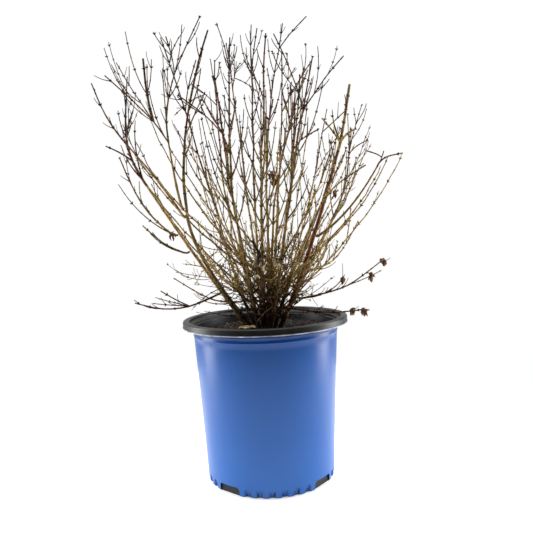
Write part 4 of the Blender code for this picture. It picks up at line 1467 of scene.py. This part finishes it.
class SNOWBERRY_OT_withered(bpy.types.Operator):
    """Add the dry leaves and berries that still hang in the bush"""

    bl_idname = "snowberry.withered"
    bl_label = "Withered Leaves and Berries"

    def execute(self, context):
        rng = random.Random("withered")
        leaves, pale, berries = bmesh.new(), bmesh.new(), bmesh.new()
        spots = [tip for tips in WITHERED.values() for tip in tips]
        spots += [nearest_twig(place) for place in WITHERED_SPOTS]
        for index, spot in enumerate(spots):
            for _ in range(3):
                self.curled_leaf(leaves, spot, rng, index)
            for _ in range(2):
                away = Vector((rng.uniform(-1, 1), rng.uniform(-1, 1), rng.uniform(-1.4, 0))) * 3 * MM
                size = rng.uniform(*BERRY_RADII)
                made = bmesh.ops.create_icosphere(berries, subdivisions=2, radius=size)["verts"]
                for vert in made:
                    vert.co += noise.noise_vector(vert.co / (1.4 * MM) + away) * 0.35 * MM
                bmesh.ops.translate(berries, vec=spot + away, verts=made)
        for index, place in enumerate(PALE_SPOTS):
            self.curled_leaf(pale, nearest_twig(place), rng, index)
        brown = plain("dry brown leaf", "#7A5636", 0.8, "#4A3220", "#A98257", 3 * MM)
        husk = plain("shrivelled berry", "#5A3B26", 0.6, "#2E1D12", "#8A6442", 2 * MM)
        straw = plain("dry straw-coloured leaf", "#DCCBA2", 0.8, "#A48A5E", "#F4EBD2", 3 * MM)
        new_piece("dry_leaves", mesh_of(leaves, "dry_leaves"), [brown])
        new_piece("pale_leaves", mesh_of(pale, "pale_leaves"), [straw])
        new_piece("dry_berries", mesh_of(berries, "dry_berries"), [husk])
        return {"FINISHED"}

    def curled_leaf(self, leaves, spot, rng, index):
        """One small curled leaf that hangs at a spot."""
        blade = bmesh.new()
        bmesh.ops.create_grid(blade, x_segments=6, y_segments=5, size=1)
        length, width = rng.uniform(*DRY_LEAF_LENGTHS), rng.uniform(*DRY_LEAF_WIDTHS)
        for vert in blade.verts:
            along, across = vert.co.x, vert.co.y
            breadth = width * math.sqrt(max(0.03, 1 - along * along))
            curl = DRY_LEAF_CURL * across
            droop = along * along * length * 0.3
            vert.co = Vector((along * length, math.sin(curl) * breadth * 0.7,
                              (1 - math.cos(curl)) * breadth * 0.6 - droop))
        jittered(blade, 3 * MM, 1.1 * MM, index)
        spin = Matrix.Rotation(rng.uniform(0, 6.3), 4, "Z")
        spin = spin @ Matrix.Rotation(rng.uniform(0.3, 1.5), 4, "Y")
        away = Vector((rng.uniform(-1, 1), rng.uniform(-1, 1), rng.uniform(-1.6, 0))) * 2.5 * MM
        bmesh.ops.transform(blade, matrix=Matrix.Translation(spot + away) @ spin, verts=blade.verts)
        bmesh.ops.solidify(blade, geom=blade.faces[:], thickness=0.25 * MM)
        bmesh.ops.recalc_face_normals(blade, faces=blade.faces)
        part = mesh_of(blade, "leaf")
        leaves.from_mesh(part)
        bpy.data.meshes.remove(part)


# Camera, fitted to the photograph: the pot's lip, foot and sides fall where it shows them
CAMERA_BACK = 0.788
CAMERA_HEIGHT = 0.333
CAMERA_PITCH = math.radians(2.97)
CAMERA_YAW = math.radians(0.39)
CAMERA_ROLL = math.radians(-2.55)
FOCAL_PIXELS = 562
PHOTO_WIDTH = 533

# Studio: a small bright floor, so that the upper wall of the pot mirrors dark surroundings
FLOOR_RADIUS = 0.65
LIGHT_BACK = 0.1
SIDE_LIGHT_ASIDE = 0.8
SIDE_LIGHT_HEIGHT = 0.4
SIDE_LIGHT_SIZE = (0.35, 1.0)
TOP_LIGHT_HEIGHT = 1.6
TOP_LIGHT_SIZE = (1.0, 0.8)
LIGHT_AIM = Vector((0, 0, 0.3))
FRONT_DARK = (-0.6, 0.0)
BACK_BRIGHT = (0.3, 0.65)
SKY_DARK = 0.35
SKY_BRIGHT = 0.95


class SNOWBERRY_OT_stage(bpy.types.Operator):
    """Add the pale floor, the soft studio light and the camera"""

    bl_idname = "snowberry.stage"
    bl_label = "Studio"

    def execute(self, context):
        settings = context.scene.snowberry_stage
        self.floor(settings)
        self.world()
        for name, aside in (("left_light", -SIDE_LIGHT_ASIDE), ("right_light", SIDE_LIGHT_ASIDE)):
            place = (aside, LIGHT_BACK, SIDE_LIGHT_HEIGHT)
            self.light(name, place, *SIDE_LIGHT_SIZE, settings.side_power)
        self.light("top_light", (0.0, LIGHT_BACK, TOP_LIGHT_HEIGHT), *TOP_LIGHT_SIZE, settings.top_power)
        self.camera()
        context.scene.view_settings.view_transform = "Standard"
        return {"FINISHED"}

    def floor(self, settings):
        """The round pale floor, which glows a little like a light table."""
        shape = bmesh.new()
        bmesh.ops.create_circle(shape, cap_ends=True, segments=96, radius=FLOOR_RADIUS)
        thing = bpy.data.objects.new("studio_floor", mesh_of(shape, "studio_floor"))
        material, tree, shader, spot = surface("matt white paint", "#F4F4F4", 0.8)
        shader.inputs["Base Color"].default_value = (*settings.floor_colour, 1.0)
        shader.inputs["Emission Color"].default_value = (1, 1, 1, 1)
        shader.inputs["Emission Strength"].default_value = settings.floor_glow
        thing.data.materials.append(material)
        bpy.context.scene.collection.objects.link(thing)

    def world(self):
        """White surroundings, dimmer on the camera's side so that the pot's front stays deep."""
        world = bpy.data.worlds.new("Studio")
        bpy.context.scene.world = world
        world.use_nodes = True
        tree = world.node_tree
        tree.nodes.clear()
        way = add_node(tree, "TexCoord").outputs["Generated"]
        parts = add_node(tree, "SeparateXYZ", {"Vector": way})
        depth = add_node(tree, "MapRange", {"Value": parts.outputs["Y"],
                                            "From Min": FRONT_DARK[0], "From Max": BACK_BRIGHT[0],
                                            "To Min": FRONT_DARK[1], "To Max": BACK_BRIGHT[1]})
        above = add_node(tree, "MapRange", {"Value": parts.outputs["Z"], "From Min": SKY_DARK,
                                            "From Max": SKY_BRIGHT, "To Min": 0.0, "To Max": 1.0})
        both = add_node(tree, "Math", {0: depth.outputs["Result"], 1: above.outputs["Result"]},
                        operation="ADD")
        lit = add_node(tree, "Background", {"Color": (1, 1, 1, 1), "Strength": both.outputs["Value"]})
        seen = add_node(tree, "Background", {"Color": (1, 1, 1, 1), "Strength": 1.0})
        ray = add_node(tree, "LightPath")
        mix = add_node(tree, "MixShader", {0: ray.outputs["Is Camera Ray"], 1: lit.outputs[0],
                                           2: seen.outputs[0]})
        add_node(tree, "OutputWorld", {"Surface": mix.outputs[0]})

    def light(self, name, place, width, height, power):
        """One soft panel light that faces the middle of the bush."""
        data = bpy.data.lights.new(name, "AREA")
        data.shape = "RECTANGLE"
        data.size = width
        data.size_y = height
        data.energy = power
        thing = bpy.data.objects.new(name, data)
        thing.location = place
        thing.rotation_euler = (LIGHT_AIM - Vector(place)).to_track_quat("-Z", "Y").to_euler()
        bpy.context.scene.collection.objects.link(thing)

    def camera(self):
        """The photograph's camera."""
        forward = Vector((math.sin(CAMERA_YAW) * math.cos(CAMERA_PITCH),
                          math.cos(CAMERA_YAW) * math.cos(CAMERA_PITCH), -math.sin(CAMERA_PITCH)))
        level = Vector((math.cos(CAMERA_YAW), -math.sin(CAMERA_YAW), 0))
        up = level.cross(forward)
        right = level * math.cos(CAMERA_ROLL) + up * math.sin(CAMERA_ROLL)
        above = up * math.cos(CAMERA_ROLL) - level * math.sin(CAMERA_ROLL)
        data = bpy.data.cameras.new("camera")
        data.sensor_width = 36
        data.lens = data.sensor_width * FOCAL_PIXELS / PHOTO_WIDTH
        data.clip_start = 0.01
        thing = bpy.data.objects.new("camera", data)
        turn = Matrix((right, above, -forward)).transposed().to_4x4()
        turn.translation = (0, -CAMERA_BACK, CAMERA_HEIGHT)
        thing.matrix_world = turn
        bpy.context.scene.collection.objects.link(thing)
        bpy.context.scene.camera = thing


OPERATORS = (SNOWBERRY_OT_pot, SNOWBERRY_OT_sleeve, SNOWBERRY_OT_soil, SNOWBERRY_OT_canes,
             SNOWBERRY_OT_twigs, SNOWBERRY_OT_withered, SNOWBERRY_OT_stage)


class SNOWBERRY_PT_sidebar(bpy.types.Panel):
    """The sidebar's list of the pieces"""

    bl_idname = "SNOWBERRY_PT_sidebar"
    bl_label = "Snowberry"
    bl_space_type = "VIEW_3D"
    bl_region_type = "UI"
    bl_category = "Snowberry"

    def draw(self, context):
        for operator in OPERATORS:
            self.layout.operator(operator.bl_idname)
        scene = context.scene
        for settings in (scene.snowberry_pot, scene.snowberry_soil, scene.snowberry_stage):
            box = self.layout.box()
            for key in settings.bl_rna.properties.keys():
                if key not in ("rna_type", "name"):
                    box.prop(settings, key)


CLASSES = (PotSettings, SoilSettings, StageSettings) + OPERATORS + (SNOWBERRY_PT_sidebar,)


def register():
    """Register the classes and the settings on the scene."""
    for kind in CLASSES:
        bpy.utils.register_class(kind)
    bpy.types.Scene.snowberry_pot = bpy.props.PointerProperty(type=PotSettings)
    bpy.types.Scene.snowberry_soil = bpy.props.PointerProperty(type=SoilSettings)
    bpy.types.Scene.snowberry_stage = bpy.props.PointerProperty(type=StageSettings)


def unregister():
    """Remove the settings and the classes."""
    del bpy.types.Scene.snowberry_stage
    del bpy.types.Scene.snowberry_soil
    del bpy.types.Scene.snowberry_pot
    for kind in reversed(CLASSES):
        bpy.utils.unregister_class(kind)


def main():
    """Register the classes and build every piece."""
    register()
    bpy.ops.snowberry.stage()
    bpy.ops.snowberry.pot()
    bpy.ops.snowberry.sleeve()
    bpy.ops.snowberry.soil()
    bpy.ops.snowberry.canes()
    bpy.ops.snowberry.twigs()
    bpy.ops.snowberry.withered()
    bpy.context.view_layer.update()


if __name__ == "__main__":
    main()
